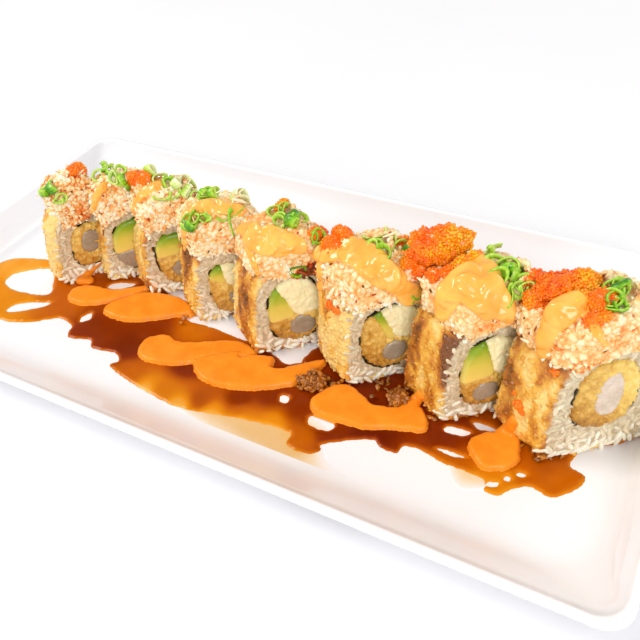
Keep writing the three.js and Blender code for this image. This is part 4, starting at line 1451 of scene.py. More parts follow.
            def ripe(local: Point) -> float:
                """Green under the skin at the top, yellow towards the pit."""
                return 0.1 + 0.95 * (top.z - FOOD_FLOOR - local[2]) / span

            self.filling("avocado", "avocado_wedge", finishes.avocado, "avocado", "ripe", (0.08, 4), ripe)
        self.filling(
            "cream", "cream_cheese", finishes.cheese, "cream_cheese", "tint", (0.5, 2.6), lambda _: 0.7
        )

        def fried(local: Point) -> float:
            """Browner towards the ring's lower left."""
            return 0.62 - 0.02 * max(0.0, up - local[2]) + 0.015 * (local[1] - shift)

        self.filling("batter", "batter_shell", finishes.batter, "batter", "tint", (0.8, 1.8), fried)
        # Painted shade: the shrimp is toned grey-brown, as it looked in shade, on slices 1 to 7, and pinkish
        # white on the last slice.
        shrimp_painted_shade = 0.8 if seat.number == SLICE_COUNT else 0.35
        self.filling("shrimp", "shrimp_meat", finishes.shrimp, "shrimp", "tint", (0.15, 5), lambda _: shrimp_painted_shade)

    def build_crown(self, finishes: Finishes) -> None:
        """Core of the topping, under its flakes."""
        seat = self.seat
        shape = Workshop.core_of(self.node("topping"), self.curd_voxel, 6)

        def height(place: Vector, _: Vector) -> float:
            """Relief: curds of crab meat, smoother where sauce runs over them."""
            cover = self.sauced(place)
            curds = 1.2 * lumps(place, self.curd, seat.number) + 0.6 * fractal(place, 1.8, 3, 2) - 0.7
            return 0.6 * fractal(place, 6, 2, seat.number) + curds * (1 - 0.75 * cover) + 0.3 * cover

        Workshop.roughened(shape, height)
        shape.normal_update()
        tones = [self.crab_tone(v.co / MM) for v in shape.verts]
        self.crown = shape.copy()
        self.crown.normal_update()
        Workshop.piece(
            f"crab_core_{seat.number}", shape, finishes.crab_bed, "crab_salad", self.node("topping"),
            tint=tones,
        )

    def sauced(self, place: Vector) -> float:
        """How far mayonnaise smooths the topping at a point, from 0 to 1."""
        seat = self.seat
        across, _, height = seat.to_local(place)
        on_face = soft_step(across, seat.thick / 2 - 1.5, seat.thick / 2 + 0.5)
        low = seat.tall - 3 - 9 * seat.creamy * (1 - 0.45 * on_face)
        shore = 2.2 * fractal(place, 6, 2, 4)
        return seat.creamy * soft_step(height + shore, low, low + 3)

    def crab_tone(self, place: Vector) -> float:
        """Tone of the crab meat: pale curds, orange crevices from mayo and painted shade, brown where fried
        crumbs lie.
        """
        seat = self.seat
        _, side, height = seat.to_local(place)
        # Crevices between curds are toned orange: partly the salad's mayo, partly painted shade.
        crevice_mayo_and_shade = 1 - lumps(place, self.curd, seat.number)
        drift = 0.3 * fractal(place, 7, 3, 4) + 0.5 * max(0.0, fractal(place, 2.2, 2, 6) - 0.2)
        cover = self.sauced(place)
        tone = (0.1 + 0.66 * crevice_mayo_and_shade ** 1.8 + drift) * (1 - cover) + 0.46 * cover
        side_off, height_off, radius = seat.burnt
        if radius:
            apart = math.hypot(side - side_off, height - height_off) + 1.5 * fractal(place, 3, 2, 3)
            tone += (1 - tone) * (1 - soft_step(apart, radius - 1.5, radius + 0.5))
        return tone

    def build(self, finishes: Finishes) -> None:
        """Makes every piece of the slice except what is scattered over all slices."""
        self.build_rice(finishes)
        self.build_nori(finishes)
        self.build_fillings(finishes)
        self.build_crown(finishes)


@dataclass
class Coverings:
    """Rice grains, crumbs and crab meat scattered over the slices."""

    makers: list[SliceMaker]
    grain: Point = (5.0, 1.9, 1.7)
    crumb: Point = (2.3, 1.6, 1.0)
    flake: Point = (1.7, 1.4, 1.2)
    shred: Point = (4.4, 1.0, 0.8)
    fleck: Point = (1.5, 0.9, 0.6)
    side_samples: int = 6000
    crown_samples: int = 5200
    grain_gap: float = 2.0
    crumb_gap: float = 2.7

    def face_bed(self, maker: SliceMaker, seed: int) -> Seedbed:
        """Places for rice grains on the cut faces and at the foot."""
        seat = maker.seat

        def fits(place: Vector, normal: Vector) -> bool:
            """Whether a rice grain shows here."""
            side, height, face, inset = seat.lie(place, normal)
            on_face = face > 0.75 and inset > 1.9 and seat.ring_gap(side, height) > 0.9
            at_foot = height < 5 and face > 0.7 and inset > 0.6
            return on_face or at_foot

        return Seedbed.on(maker.core, self.side_samples, seed).kept(fits).thinned(self.grain_gap)

    def side_bed(self, maker: SliceMaker, seed: int) -> Seedbed:
        """Places for crumbs on the side and along the faces' edges."""
        seat = maker.seat

        def fits(place: Vector, normal: Vector) -> bool:
            """Whether a crumb shows here."""
            side, height, face, inset = seat.lie(place, normal)
            if seat.ring_gap(side, height) < 1.0 or height > seat.tall - 1:
                return False
            return face < 0.75 or inset < 1.9

        return Seedbed.on(maker.core, self.side_samples, seed).kept(fits).thinned(self.crumb_gap)

    def crown_bed(self, maker: SliceMaker, seed: int) -> Seedbed:
        """Places for flakes on a topping, not on its underside."""
        rice = BVHTree.FromBMesh(maker.core)

        def fits(place: Vector, normal: Vector) -> bool:
            """Whether the place looks outward."""
            start = (place + normal * 0.5) * MM
            hit = rice.ray_cast(start, normal, 3 * MM)
            return hit[0] is None and normal.z > -0.75

        return Seedbed.on(maker.crown, self.crown_samples, seed).kept(fits)

    def build(self, finishes: Finishes) -> None:
        """Makes each kind of scattered piece."""
        rice = Seedbed.joined([self.face_bed(m, 10 + m.seat.number) for m in self.makers])
        low = np.clip((rice.points[:, 2] - FOOD_FLOOR - 4) / 8, 0, 1)
        rng = np.random.default_rng(4)
        tones = np.clip(0.9 - 0.45 * low + rng.normal(0, 0.1, len(low)), 0, 1)
        Scatter(
            "rice_grains", GrainForm.GRAIN, rice, self.grain, 0.16, 0.55 + 0.3 * low, 0.07, 2, tones
        ).build(finishes.rice_grain, "rice")
        crumb_beds = [self.side_bed(m, 30 + m.seat.number) for m in self.makers]
        tones = np.concatenate([
            [soaked(m.seat, Vector(p)) for p in bed.points] for m, bed in zip(self.makers, crumb_beds)
        ])
        tones = np.clip(tones + rng.normal(0.02, 0.05, len(tones)), 0, 1)
        Scatter(
            "crumb_flakes", GrainForm.CURD, Seedbed.joined(crumb_beds), self.crumb, 0.5, 0.6, 0.4, 5,
            tones, "soak",
        ).build(finishes.flake, "crumb_coat")
        crown_beds = [self.crown_bed(m, 50 + m.seat.number) for m in self.makers]
        self.crab("crab_flakes", GrainForm.CURD, crown_beds, self.flake, 2.3, -0.12, finishes)
        self.crab("crab_shreds", GrainForm.GRAIN, crown_beds, self.shred, 4.8, -0.1, finishes)
        self.crab("crab_flecks", GrainForm.CHIP, crown_beds, self.fleck, 4.2, 0.55, finishes)

    def crab(
        self, name: str, form: GrainForm, beds: list[Seedbed], size: Point, gap: float, shift: float,
        finishes: Finishes,
    ) -> None:
        """One kind of crab pieces, fewer where sauce covers the topping.

        Args:
            name: the piece's name.
            form: shape of one of its bits.
            beds: places on each topping.
            size: size of one bit in millimetres.
            gap: distance between bits in millimetres.
            shift: added to the tone of the meat below.
            finishes: all materials.
        """
        rng = np.random.default_rng(len(name) + int(gap * 10))
        kept, tones = [], []
        for maker, bed in zip(self.makers, beds):
            order = rng.permutation(len(bed.points))
            bed = bed.pick(order).thinned(gap)
            cover = np.array([maker.sauced(Vector(p)) for p in bed.points])
            stays = rng.uniform(0, 1, len(cover)) > 1.2 * cover
            kept.append(bed.pick(stays))
            # Each bit takes the tone of the meat below it, painted crevice shade included, moved by the
            # shift.
            tones.extend(maker.crab_tone(Vector(p)) + shift for p in kept[-1].points)
        tones = np.clip(np.array(tones) + rng.normal(0, 0.07, len(tones)), 0, 1)
        Scatter(name, form, Seedbed.joined(kept), size, 0.4, 0.35, 0.5, 6, tones).build(
            finishes.crab, "crab_salad"
        )


# What lies on the slices


class Skin:
    """Surface of slices and plate, to lay things on."""

    sauce_top = PLATE_FLOOR + 1.9

    def __init__(self, makers: list[SliceMaker], studio: Studio) -> None:
        """Joins the slices' surfaces into one tree."""
        self.studio = studio
        joined = bmesh.new()
        for maker in makers:
            for part in (maker.crown, maker.core):
                Workshop.merge(joined, part)
        self.tree = BVHTree.FromBMesh(joined)
        joined.free()

    def seen(self, across: float, down: float, on_plate: bool = False) -> Optional[tuple[Vector, Vector]]:
        """Surface behind a pixel of the photograph.

        Args:
            across: the pixel's column.
            down: the pixel's row.
            on_plate: whether a sight line past the slices meets the sauces instead of nothing.

        Returns:
            Its point in millimetres and its normal, or nothing.
        """
        start, look = self.studio.ray(across, down)
        place, normal, _, _ = self.tree.ray_cast(start * MM, look)
        if place is not None:
            return place / MM, normal
        if not on_plate:
            return None
        return start + look * ((self.sauce_top - start.z) / look.z), Vector((0, 0, 1))

    def near(self, place: Vector) -> tuple[Vector, Vector]:
        """Nearest surface point and its normal, in millimetres."""
        found, normal, _, _ = self.tree.find_nearest(place * MM)
        return found / MM, normal


# A drip is a path of sauce: pixels of the photograph, each with half width and rise in millimetres.

Drip = tuple[tuple[float, float, float, float], ...]

DRIPS: tuple[Drip, ...] = (
    ((336, 240, 2.2, 1.0), (352, 246, 3.2, 1.4), (368, 253, 3.8, 1.6), (382, 266, 4.0, 1.7)),
    ((382, 266, 4.0, 1.7), (394, 280, 4.2, 1.8), (408, 292, 4.4, 1.9), (424, 298, 2.4, 1.2)),
    ((318, 252, 3.4, 0.9), (332, 256, 3.0, 1.0), (340, 250, 2.8, 1.0)),
    ((480, 262, 3.2, 1.2), (472, 272, 4.6, 1.7), (462, 283, 4.8, 1.9), (450, 294, 4.2, 1.7)),
    ((450, 294, 4.2, 1.7), (444, 308, 3.2, 1.5), (441, 320, 1.8, 1.2)),
    (
        (478, 264, 4.0, 1.4), (486, 278, 5.0, 1.8), (492, 292, 4.8, 1.9), (500, 304, 4.4, 1.8),
        (508, 318, 2.6, 1.4),
    ),
    ((466, 284, 4.4, 1.8), (476, 296, 4.6, 1.9), (484, 306, 3.6, 1.6), (488, 316, 2.0, 1.2)),
    ((584, 296, 2.2, 1.0), (572, 303, 3.6, 1.6), (561, 313, 4.2, 1.8), (552, 325, 3.8, 1.7)),
    ((552, 325, 3.8, 1.7), (546, 340, 3.0, 1.6), (542, 356, 1.9, 1.4)),
    ((580, 305, 1.4, 0.8), (590, 320, 1.6, 0.9), (598, 333, 1.5, 0.9), (607, 347, 1.2, 0.8)),
    (
        (246, 228, 3.6, 1.1), (260, 233, 4.2, 1.4), (276, 239, 4.2, 1.5), (290, 243, 3.8, 1.5),
        (304, 246, 2.6, 1.2),
    ),
    ((250, 238, 3.6, 1.0), (262, 244, 3.8, 1.1), (276, 248, 3.4, 1.1), (286, 250, 2.2, 0.9)),
    ((346, 256, 3.0, 1.0), (362, 264, 3.4, 1.2), (376, 276, 3.2, 1.2), (388, 288, 2.2, 1.0)),
    ((248, 232, 2.4, 1.0), (250, 248, 2.2, 1.0), (255, 264, 1.6, 1.0), (258, 276, 1.1, 0.8)),
    ((322, 256, 1.6, 0.8), (320, 276, 1.8, 0.9), (321, 300, 1.5, 0.8), (322, 316, 1.0, 0.7)),
    (
        (218, 206, 3.4, 1.0), (204, 209, 3.6, 1.2), (190, 215, 3.2, 1.1), (186, 228, 2.2, 1.0),
        (185, 250, 1.6, 0.9),
    ),
    ((240, 212, 3.0, 1.0), (226, 210, 3.4, 1.1), (216, 207, 3.4, 1.0)),
    ((160, 186, 2.6, 0.8), (148, 190, 2.8, 0.9), (138, 200, 2.2, 0.8), (134, 214, 1.4, 0.7)),
    ((104, 186, 2.2, 0.8), (97, 196, 1.8, 0.8), (92, 214, 1.5, 0.8)),
)
FINGERS: tuple[Drip, ...] = (
    ((398, 418, 4.0, 1.2), (408, 410, 3.4, 1.5), (414, 402, 2.6, 1.6), (423, 393, 1.8, 1.4)),
    ((498, 444, 4.2, 1.2), (506, 434, 3.2, 1.5), (511, 426, 2.3, 1.6), (516, 417, 1.6, 1.4)),
    ((290, 372, 3.2, 0.8), (306, 367, 2.2, 1.0), (322, 362, 1.4, 1.0)),
    ((88, 274, 2.6, 2.0), (82, 280, 2.8, 2.0), (92, 281, 2.6, 1.8)),
    ((90, 272, 1.6, 1.5), (97, 266, 1.0, 1.2), (103, 260, 0.8, 1.0)),
)


@dataclass
class Drizzle:
    """Spicy mayonnaise that runs over the toppings."""

    skin: Skin
    pace: float = 0.9
    voxel: float = 0.45
    pixels_per_mm: float = 2.9

    def build(self, finishes: Finishes) -> None:
        """Makes the drips over the slices and those on the plate."""
        self.lay("mayo_drizzle", DRIPS, finishes.mayo_wet, False)
        self.lay("mayo_fingers", FINGERS, finishes.mayo, True)

    def lay(self, name: str, drips: tuple[Drip, ...], finish: bpy.types.Material, on_plate: bool) -> None:
        """Makes some drips as one piece.

        Args:
            name: the piece's name.
            drips: its drips.
            finish: its material.
            on_plate: whether a drop beside the slices lies on the sauces instead of falling away.
        """
        shape = bmesh.new()
        for drip in drips:
            for start, end in zip(drip, drip[1:]):
                length = math.dist(start[:2], end[:2]) / self.pixels_per_mm
                steps = max(2, int(length / self.pace))
                for step in range(steps):
                    share = step / steps
                    across, down, wide, rise = (a + (b - a) * share for a, b in zip(start, end))
                    hit = self.skin.seen(across, down, on_plate)
                    if hit is not None:
                        self.drop(shape, *hit, wide, rise)
        shape = Workshop.remeshed(shape, self.voxel, 9)
        Workshop.piece(name, shape, finish, "spicy_mayo")

    @staticmethod
    def drop(shape: bmesh.types.BMesh, place: Vector, normal: Vector, wide: float, rise: float) -> None:
        """Adds one flat drop at a point of a surface."""
        uneven = 1.1 + 0.16 * fractal(place, 7, 2, 8)
        turn = normal.to_track_quat("Z", "Y").to_matrix().to_4x4()
        scale = Matrix.Diagonal((wide * uneven * MM, wide * uneven * MM, rise * 0.95 * MM, 1))
        bmesh.ops.create_icosphere(
            shape, subdivisions=2, radius=1.0, matrix=Matrix.Translation(place * MM) @ turn @ scale
        )


class Lay(Enum):
    """How a scallion ring lies on its slice."""

    FLAT = "flat"
    LEAN = "lean"
    STAND = "stand"


@dataclass(frozen=True)
class Curl:
    """One cut of scallion: photograph pixel, sizes in millimetres, angles in degrees."""

    across: float
    down: float
    radius: float
    width: float
    lay: Lay = Lay.LEAN
    spin: float = 0.0
    arc: float = 360.0
    squash: float = 0.75
    pale: float = 0.3
    lift: float = 0.8
    wall: float = 0.5


FLAT, LEAN, STAND = Lay
CURLS = tuple(Curl(*row) for row in (
    (53, 190, 2.6, 2.2, STAND, 20, 300, 0.5, 0.25), (58, 196, 2.4, 0.9, LEAN, 0, 360, 0.8, 0.4),
    (92, 172, 2.8, 1.8, LEAN, 30, 360, 0.6, 0.5), (99, 176, 2.4, 1.6, LEAN, 70, 360, 0.7, 0.45),
    (110, 173, 3.0, 1.4, FLAT, 0, 220, 0.7, 0.3), (116, 178, 2.4, 1.8, LEAN, 110, 360, 0.7, 0.55),
    (126, 187, 3.0, 1.6, STAND, 40, 170, 0.6, 0.15), (120, 171, 2.2, 1.0, FLAT, 0, 360, 0.8, 0.3),
    (158, 180, 2.8, 2.0, LEAN, 10, 360, 0.6, 0.6), (166, 185, 2.6, 2.2, LEAN, 60, 320, 0.7, 0.35),
    (172, 192, 3.2, 1.0, LEAN, 200, 240, 0.7, 0.3), (163, 195, 3.2, 1.0, LEAN, 190, 180, 0.7, 0.25),
    (181, 184, 2.8, 2.4, LEAN, 20, 360, 0.6, 0.85), (190, 189, 2.4, 1.8, LEAN, 80, 360, 0.7, 0.6),
    (197, 193, 2.4, 1.8, LEAN, 140, 360, 0.65, 0.35), (206, 196, 2.6, 1.6, LEAN, 10, 300, 0.7, 0.3),
    (214, 198, 2.2, 1.6, STAND, 60, 360, 0.7, 0.4), (203, 189, 2.4, 1.0, FLAT, 60, 360, 0.7, 0.3),
    (188, 222, 2.4, 1.8, LEAN, 30, 360, 0.6, 0.3), (197, 219, 2.6, 1.8, LEAN, 90, 300, 0.7, 0.2),
    (206, 217, 2.2, 1.6, LEAN, 150, 360, 0.6, 0.3), (194, 227, 2.2, 1.8, STAND, 20, 240, 0.7, 0.2),
    (234, 201, 4.2, 3.2, LEAN, 40, 360, 0.5, 0.95), (242, 206, 3.4, 3.0, LEAN, 20, 260, 0.6, 0.8),
    (232, 213, 5.6, 0.7, LEAN, 200, 150, 0.5, 0.1), (240, 230, 6.5, 0.7, LEAN, 110, 110, 0.4, 0.1),
    (276, 212, 2.6, 2.0, LEAN, 10, 360, 0.65, 0.35), (286, 216, 2.8, 2.0, LEAN, 60, 300, 0.7, 0.25),
    (292, 224, 2.4, 2.2, STAND, 30, 360, 0.7, 0.35), (281, 224, 2.4, 1.8, LEAN, 120, 360, 0.7, 0.3),
    (300, 210, 3.4, 1.4, LEAN, 10, 160, 0.5, 0.35), (297, 219, 2.6, 1.4, LEAN, 140, 280, 0.6, 0.3),
    (298, 270, 2.9, 0.7, FLAT, 0, 360, 0.85, 0.0, 0.3, 0.35), (315, 237, 2.5, 0.9, LEAN, 0, 360, 0.9, 0.15),
    (326, 222, 4.2, 1.6, LEAN, 20, 130, 0.4, 0.45), (338, 222, 2.2, 2.2, LEAN, 40, 360, 0.6, 0.9),
    (360, 224, 2.0, 1.6, LEAN, 0, 300, 0.7, 0.45), (376, 236, 3.8, 3.0, LEAN, 200, 190, 0.5, 0.45),
    (388, 242, 3.2, 2.8, LEAN, 240, 160, 0.6, 0.4), (374, 247, 2.6, 0.9, LEAN, 0, 360, 0.7, 0.35),
    (384, 257, 3.0, 2.2, LEAN, 300, 220, 0.7, 0.15), (389, 226, 2.8, 0.8, STAND, 90, 190, 0.8, 0.2),
    (408, 254, 3.4, 1.8, STAND, 120, 130, 0.6, 0.15), (400, 247, 2.4, 1.4, LEAN, 30, 200, 0.7, 0.3),
    (415, 291, 2.4, 0.8, LEAN, 0, 360, 0.9, 0.1), (420, 289, 2.3, 1.6, LEAN, 280, 120, 0.9, 0.0),
    (482, 248, 3.8, 2.6, LEAN, 30, 170, 0.4, 0.4), (494, 254, 3.2, 2.4, LEAN, 50, 200, 0.45, 0.45),
    (497, 268, 3.2, 1.2, LEAN, 0, 360, 0.8, 0.3), (496, 280, 3.4, 1.0, LEAN, 60, 360, 0.8, 0.2),
    (510, 266, 3.2, 1.6, LEAN, 20, 360, 0.75, 0.35), (515, 272, 2.6, 1.6, LEAN, 130, 300, 0.7, 0.3),
    (506, 276, 2.4, 2.0, STAND, 40, 360, 0.7, 0.3), (525, 286, 3.0, 1.0, LEAN, 0, 360, 0.85, 0.2),
    (520, 288, 2.4, 1.4, LEAN, 80, 300, 0.8, 0.3), (509, 298, 3.6, 2.2, LEAN, 300, 110, 0.5, 0.3),
    (567, 277, 2.4, 2.0, STAND, 10, 240, 0.6, 0.35), (576, 281, 3.0, 0.9, LEAN, 160, 200, 0.6, 0.3),
    (609, 291, 2.8, 1.4, LEAN, 20, 360, 0.7, 0.25), (618, 292, 3.0, 1.2, LEAN, 70, 360, 0.75, 0.3),
    (614, 302, 3.0, 1.2, LEAN, 0, 360, 0.8, 0.25), (616, 311, 2.8, 1.0, LEAN, 40, 340, 0.8, 0.2),
))


@dataclass
class Scallions:
    """Rings and curls of scallion, each made by spinning its section."""

    skin: Skin
    steps: int = 22
    section: int = 8
    seed: int = 3
    broader: float = 1.75
    stray: tuple[float, float] = (7.0, 4.5)

    def companions(self, rng: random.Random) -> list[Curl]:
        """Smaller rings beside the whole ones, so that the heaps are full."""
        more = []
        for curl in CURLS:
            if curl.arc < 300 or curl.radius > 3.3 or curl.lay is Lay.FLAT:
                continue
            across = curl.across + rng.uniform(-1, 1) * self.stray[0]
            down = curl.down + rng.uniform(-1, 1) * self.stray[1]
            more.append(
                Curl(
                    across, down, curl.radius * rng.uniform(0.75, 1.0), curl.width * 0.9,
                    rng.choice((LEAN, STAND)), rng.uniform(0, 360), rng.choice((360, 300, 220)),
                    rng.uniform(0.6, 0.85), curl.pale + rng.uniform(-0.15, 0.2), 1.3,
                )
            )
        return more

    def ring(self, curl: Curl, rng: random.Random) -> Optional[bmesh.types.BMesh]:
        """Mesh of one curl in its place, or nothing where the sight line meets no slice."""
        hit = self.skin.seen(curl.across, curl.down)
        if hit is None:
            return None
        place, normal = hit
        shape = bmesh.new()
        turn = Matrix.Rotation(math.pi / 2, 4, "X")
        scale = Matrix.Diagonal((curl.wall, 1, curl.width / 2 * self.broader, 1))
        middle = Matrix.Translation((curl.radius, 0, 0))
        made = bmesh.ops.create_circle(
            shape, segments=self.section, radius=1.0, cap_ends=False, matrix=middle @ scale @ turn
        )
        closed = curl.arc >= 360
        steps = max(6, int(self.steps * curl.arc / 360))
        geometry = list(made["verts"]) + list(shape.edges)
        bmesh.ops.spin(
            shape, geom=geometry, cent=(0, 0, 0), axis=(0, 0, 1), angle=math.radians(min(curl.arc, 360)),
            steps=steps, use_merge=closed, use_normal_flip=False, use_duplicate=False,
        )
        bmesh.ops.remove_doubles(shape, verts=shape.verts, dist=1e-4)
        if not closed:
            bmesh.ops.holes_fill(shape, edges=shape.edges, sides=self.section)
        pale = shape.verts.layers.float.new("pale")
        for vertex in shape.verts:
            outward = (Vector(vertex.co.xy).length - curl.radius) / curl.wall
            ribs = 0.1 * math.sin(math.atan2(vertex.co.y, vertex.co.x) * 9)
            vertex[pale] = curl.pale + ribs - 0.15 * outward + 0.25 * vertex.co.z / curl.width
        self.bend(shape, curl, rng)
        bmesh.ops.recalc_face_normals(shape, faces=shape.faces)
        shape.transform(self.seat(curl, place, normal))
        return shape

    def bend(self, shape: bmesh.types.BMesh, curl: Curl, rng: random.Random) -> None:
        """Squashes and warps a fresh ring."""
        phase, second = rng.uniform(0, math.tau), rng.uniform(0, math.tau)
        for vertex in shape.verts:
            angle = math.atan2(vertex.co.y, vertex.co.x)
            swell = 1 + 0.07 * math.sin(2 * angle + phase) + 0.05 * math.sin(3 * angle + second)
            flare = 1 + 0.12 * vertex.co.z / curl.width
            vertex.co.x *= swell * flare
            vertex.co.y *= swell * flare * curl.squash
            vertex.co.z += 0.16 * curl.radius * math.sin(2 * angle + second)

    def seat(self, curl: Curl, place: Vector, normal: Vector) -> Matrix:
        """Matrix from a ring's own frame in millimetres to its place in metres."""
        toward_eye = (Vector(self.skin.studio.eye) - place).normalized()
        if curl.lay is Lay.FLAT:
            axis = normal
        elif curl.lay is Lay.LEAN:
            axis = (normal + toward_eye).normalized()
        else:
            side = normal.cross(toward_eye).normalized()
            axis = (side + 0.35 * toward_eye).normalized()
        turn = axis.to_track_quat("Z", "Y").to_matrix().to_4x4()
        spin = Matrix.Rotation(math.radians(curl.spin), 4, "Z")
        slope = math.sqrt(max(0.0, 1 - axis.dot(normal) ** 2))
        raised = place + normal * (curl.lift + slope * curl.radius * curl.squash * 0.55)
        return Matrix.Scale(MM, 4) @ Matrix.Translation(raised) @ turn @ spin

    def build(self, finishes: Finishes) -> None:
        """Makes all curls as one piece."""
        rng = random.Random(self.seed)
        joined = bmesh.new()
        joined.verts.layers.float.new("pale")
        for curl in (*CURLS, *self.companions(rng)):
            shape = self.ring(curl, rng)
            if shape is None:
                continue
            Workshop.merge(joined, shape)
        Workshop.piece("scallion_cuts", joined, finishes.scallion, "scallion")


@dataclass(frozen=True)
class RoePatch:
    """Spoonful of roe: photograph pixel, radius and rise in millimetres, share of yellow."""

    across: float
    down: float
    radius: float
    rise: float
    yellow: float = 0.3


ROE_PATCHES = tuple(RoePatch(*row) for row in (
    (72, 171, 3.0, 1.6, 0.3), (80, 169, 3.2, 1.8, 0.35), (90, 170, 3.0, 1.6, 0.3),
    (134, 181, 3.6, 2.0, 0.15), (144, 180, 3.4, 1.8, 0.2), (165, 176, 2.6, 1.6, 0.9),
    (256, 201, 2.6, 1.3, 0.5), (266, 204, 2.6, 1.4, 0.4), (282, 205, 2.8, 1.4, 0.4),
    (316, 220, 3.8, 1.8, 0.2), (330, 228, 4.2, 2.0, 0.15), (318, 236, 3.6, 1.7, 0.1),
    (342, 238, 4.4, 2.0, 0.15), (332, 247, 3.6, 1.6, 0.05), (352, 226, 3.0, 1.6, 0.7),
    (362, 231, 2.8, 1.6, 0.5), (412, 232, 5.0, 2.4, 0.25), (426, 232, 5.0, 2.6, 0.65),
    (438, 238, 5.2, 2.8, 0.5), (452, 246, 5.0, 2.4, 0.9), (466, 254, 4.2, 2.0, 0.45),
    (422, 246, 5.4, 2.4, 0.15), (418, 260, 4.4, 2.0, 0.1), (438, 256, 4.8, 2.2, 0.15),
    (452, 262, 4.0, 1.8, 0.1), (436, 266, 3.0, 1.4, 0.1), (406, 246, 3.4, 1.8, 0.1),
    (408, 262, 3.2, 1.6, 0.1), (420, 272, 3.2, 1.4, 0.1), (434, 276, 2.6, 1.2, 0.1),
    (450, 272, 3.0, 1.5, 0.3), (464, 266, 3.2, 1.7, 0.7), (476, 260, 3.0, 1.7, 0.8),
    (472, 250, 3.0, 1.6, 0.9), (532, 300, 3.0, 1.6, 0.1), (546, 304, 3.2, 1.6, 0.2),
    (560, 298, 3.4, 1.8, 0.5), (584, 302, 3.4, 1.8, 0.7), (606, 298, 3.0, 1.6, 0.3),
    (528, 288, 2.8, 1.4, 0.2), (536, 284, 4.4, 2.2, 0.15), (548, 278, 4.6, 2.4, 0.4),
    (556, 288, 4.4, 2.0, 0.3), (540, 296, 4.0, 1.8, 0.1), (530, 278, 3.0, 1.6, 0.5),
    (574, 294, 3.6, 1.8, 0.85), (590, 292, 3.8, 1.8, 0.6), (598, 304, 3.4, 1.6, 0.3),
    (600, 317, 3.2, 1.4, 0.05), (594, 322, 2.4, 1.2, 0.05), (331, 305, 1.8, 1.3, 0.1),
    (337, 309, 1.7, 1.2, 0.1), (519, 404, 1.6, 1.2, 0.15), (523, 411, 1.4, 1.0, 0.2),
    (555, 372, 1.4, 0.9, 0.1), (514, 392, 0.9, 0.7, 0.2),
))


@dataclass
class Roe:
    """Orange roe in spoonfuls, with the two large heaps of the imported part."""

    skin: Skin
    bead: float = 1.05
    gap: float = 0.76
    heaps: tuple[str, ...] = ("roe_1", "roe_2")
    seed: int = 11
    patch_crowd: float = 30.0
    heap_samples: int = 6000

    def dome(self, patch: RoePatch) -> Optional[bmesh.types.BMesh]:
        """Low uneven dome where a pixel's sight line meets the slices."""
        hit = self.skin.seen(patch.across, patch.down)
        if hit is None:
            return None
        place, normal = hit
        shape = bmesh.new()
        turn = normal.to_track_quat("Z", "Y").to_matrix().to_4x4()
        size = Matrix.Diagonal((patch.radius * MM, patch.radius * MM, patch.rise * MM, 1))
        bmesh.ops.create_icosphere(
            shape, subdivisions=3, radius=1.0, matrix=Matrix.Translation(place * MM) @ turn @ size
        )
        Workshop.roughened(shape, lambda spot, _: 0.5 * fractal(spot, 3.5, 2, 6))
        shape.normal_update()
        return shape

    def build(self, finishes: Finishes) -> None:
        """Makes the domes' cores and all beads."""
        rng = np.random.default_rng(self.seed)
        beds, yellows, cores = [], [], bmesh.new()
        for number, patch in enumerate(ROE_PATCHES):
            shape = self.dome(patch)
            if shape is None:
                LOG.warning("roe at %s, %s meets nothing", patch.across, patch.down)
                continue
            count = int(self.patch_crowd * patch.radius ** 2)
            bed = Seedbed.on(shape, count, 200 + number).kept(self.shows)
            beds.append(bed)
            yellows.append(np.full(len(bed.points), patch.yellow))
            Workshop.merge(cores, shape)
        for number, heap in enumerate(self.heaps):
            shape = Workshop.core_of(heap, 0.6, 6)
            Workshop.roughened(shape, self.clumps)
            shape.normal_update()
            bed = Seedbed.on(shape, self.heap_samples, 300 + number).kept(self.shows)
            beds.append(bed)
            east = bed.points[:, 0] - bed.points[:, 0].mean()
            yellows.append(np.clip(0.4 + 0.08 * east, 0.05, 0.95))
            Workshop.merge(cores, shape)
        tint = [0.25 + 0.2 * fractal(v.co / MM, 4, 2) for v in cores.verts]
        Workshop.piece("roe_core", cores, finishes.roe, "roe", *self.heaps, tint=tint)
        bed = Seedbed.joined(beds)
        yellow = np.concatenate(yellows)
        kept = bed.mask(self.gap)
        bed, yellow = bed.pick(kept), yellow[kept]
        drift = np.array([fractal(Vector(p), 6, 2, 5) for p in bed.points])
        tones = np.clip(0.16 + 0.6 * yellow + 0.5 * drift + rng.normal(0, 0.03, len(drift)), 0, 1)
        Scatter(
            "roe_beads", GrainForm.CURD, bed, (self.bead,) * 3, 0.25, 0.42, 0.4, 12, tones, ragged=0.12
        ).build(finishes.roe, "roe")

    def shows(self, place: Vector, normal: Vector) -> bool:
        """Whether a point of a dome lies outside the slices."""
        found, outward = self.skin.near(place)
        return (place - found).dot(outward) > -0.15

    @staticmethod
    def clumps(spot: Vector, _: Vector) -> float:
        """Relief of a heap: coarse clumps of beads with finer ones on them."""
        return 1.7 * fractal(spot, 5, 3, 2) + 1.1 * fractal(spot, 2.2, 2, 7) - 1.1


STRAY_CRUMBS: Ring = (
    (300, 374), (308, 384), (318, 390), (330, 392), (338, 386), (384, 386), (392, 392), (402, 398),
    (408, 390), (432, 398), (436, 408), (442, 414), (520, 426), (526, 436), (534, 446), (544, 454),
    (186, 318),
)


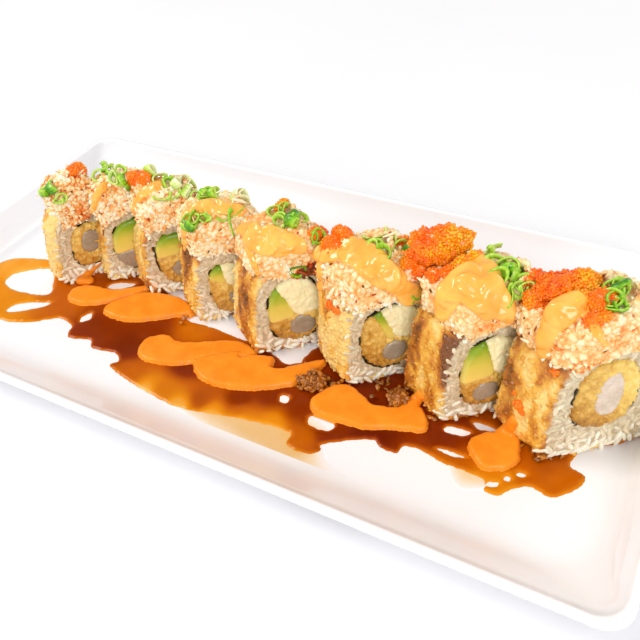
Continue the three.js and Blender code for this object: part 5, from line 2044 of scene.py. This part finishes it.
@dataclass
class SoakedCrumbs:
    """Heaps of soaked crumbs by the slices' feet."""

    studio: Studio
    heaps: tuple[str, ...] = ("crumbs_1", "crumbs_2")
    level: float = PLATE_FLOOR + 1.2
    samples: int = 700
    per_spot: int = 9
    tone: float = 0.75

    def build(self, finishes: Finishes) -> None:
        """Makes the heaps' cores and their lumps."""
        beds = []
        for number, heap in enumerate(self.heaps):
            shape = Workshop.core_of(heap, 0.5, 3)
            Workshop.roughened(shape, lambda spot, _: 1.3 * fractal(spot, 3.4, 3, 7) - 0.5)
            shape.normal_update()
            beds.append(Seedbed.on(shape, self.samples, 400 + number))
            soak = [self.tone] * len(shape.verts)
            Workshop.piece(f"soaked_core_{number + 1}", shape, finishes.coat, "crumbs", heap, soak=soak)
        rng = np.random.default_rng(9)
        spots = self.studio.on_level(STRAY_CRUMBS, self.level)
        strays = np.array([(*place, self.level) for place in spots]).repeat(self.per_spot, 0)
        strays += rng.normal(0, 1, strays.shape) * (2.0, 2.0, 0.5)
        beds.append(Seedbed(strays, np.tile((0.0, 0.0, 1.0), (len(strays), 1))))
        bed = Seedbed.joined(beds).thinned(1.3)
        tones = rng.uniform(0.55, 0.95, len(bed.points))
        Scatter(
            "soaked_lumps", GrainForm.CURD, bed, (2.8, 1.8, 1.4), 0.4, 0.4, 0.5, 13, tones, "soak"
        ).build(finishes.flake, "crumbs")


class Serving:
    """The whole dish: plate, sauces, slices and what lies on them."""

    def __init__(self) -> None:
        """Makes the finishes and the slices' makers."""
        self.finishes = Finishes()
        self.makers = [SliceMaker(seat) for seat in SEATS]

    def build(self, studio: Studio) -> None:
        """Builds every sub-assembly in order."""
        Plate().build(self.finishes)
        Sauces(studio).build(self.finishes)
        for maker in self.makers:
            maker.build(self.finishes)
        Coverings(self.makers).build(self.finishes)
        skin = Skin(self.makers, studio)
        Drizzle(skin).build(self.finishes)
        Roe(skin).build(self.finishes)
        Scallions(skin).build(self.finishes)
        SoakedCrumbs(studio).build(self.finishes)


def main() -> None:
    """Builds the studio and the dish."""
    logging.basicConfig(level=logging.INFO, format="%(name)s %(message)s")
    random.seed(SEED)
    noise.seed_set(SEED)
    studio = Studio()
    studio.build()
    Serving().build(studio)


if __name__ == "__main__":
    main()
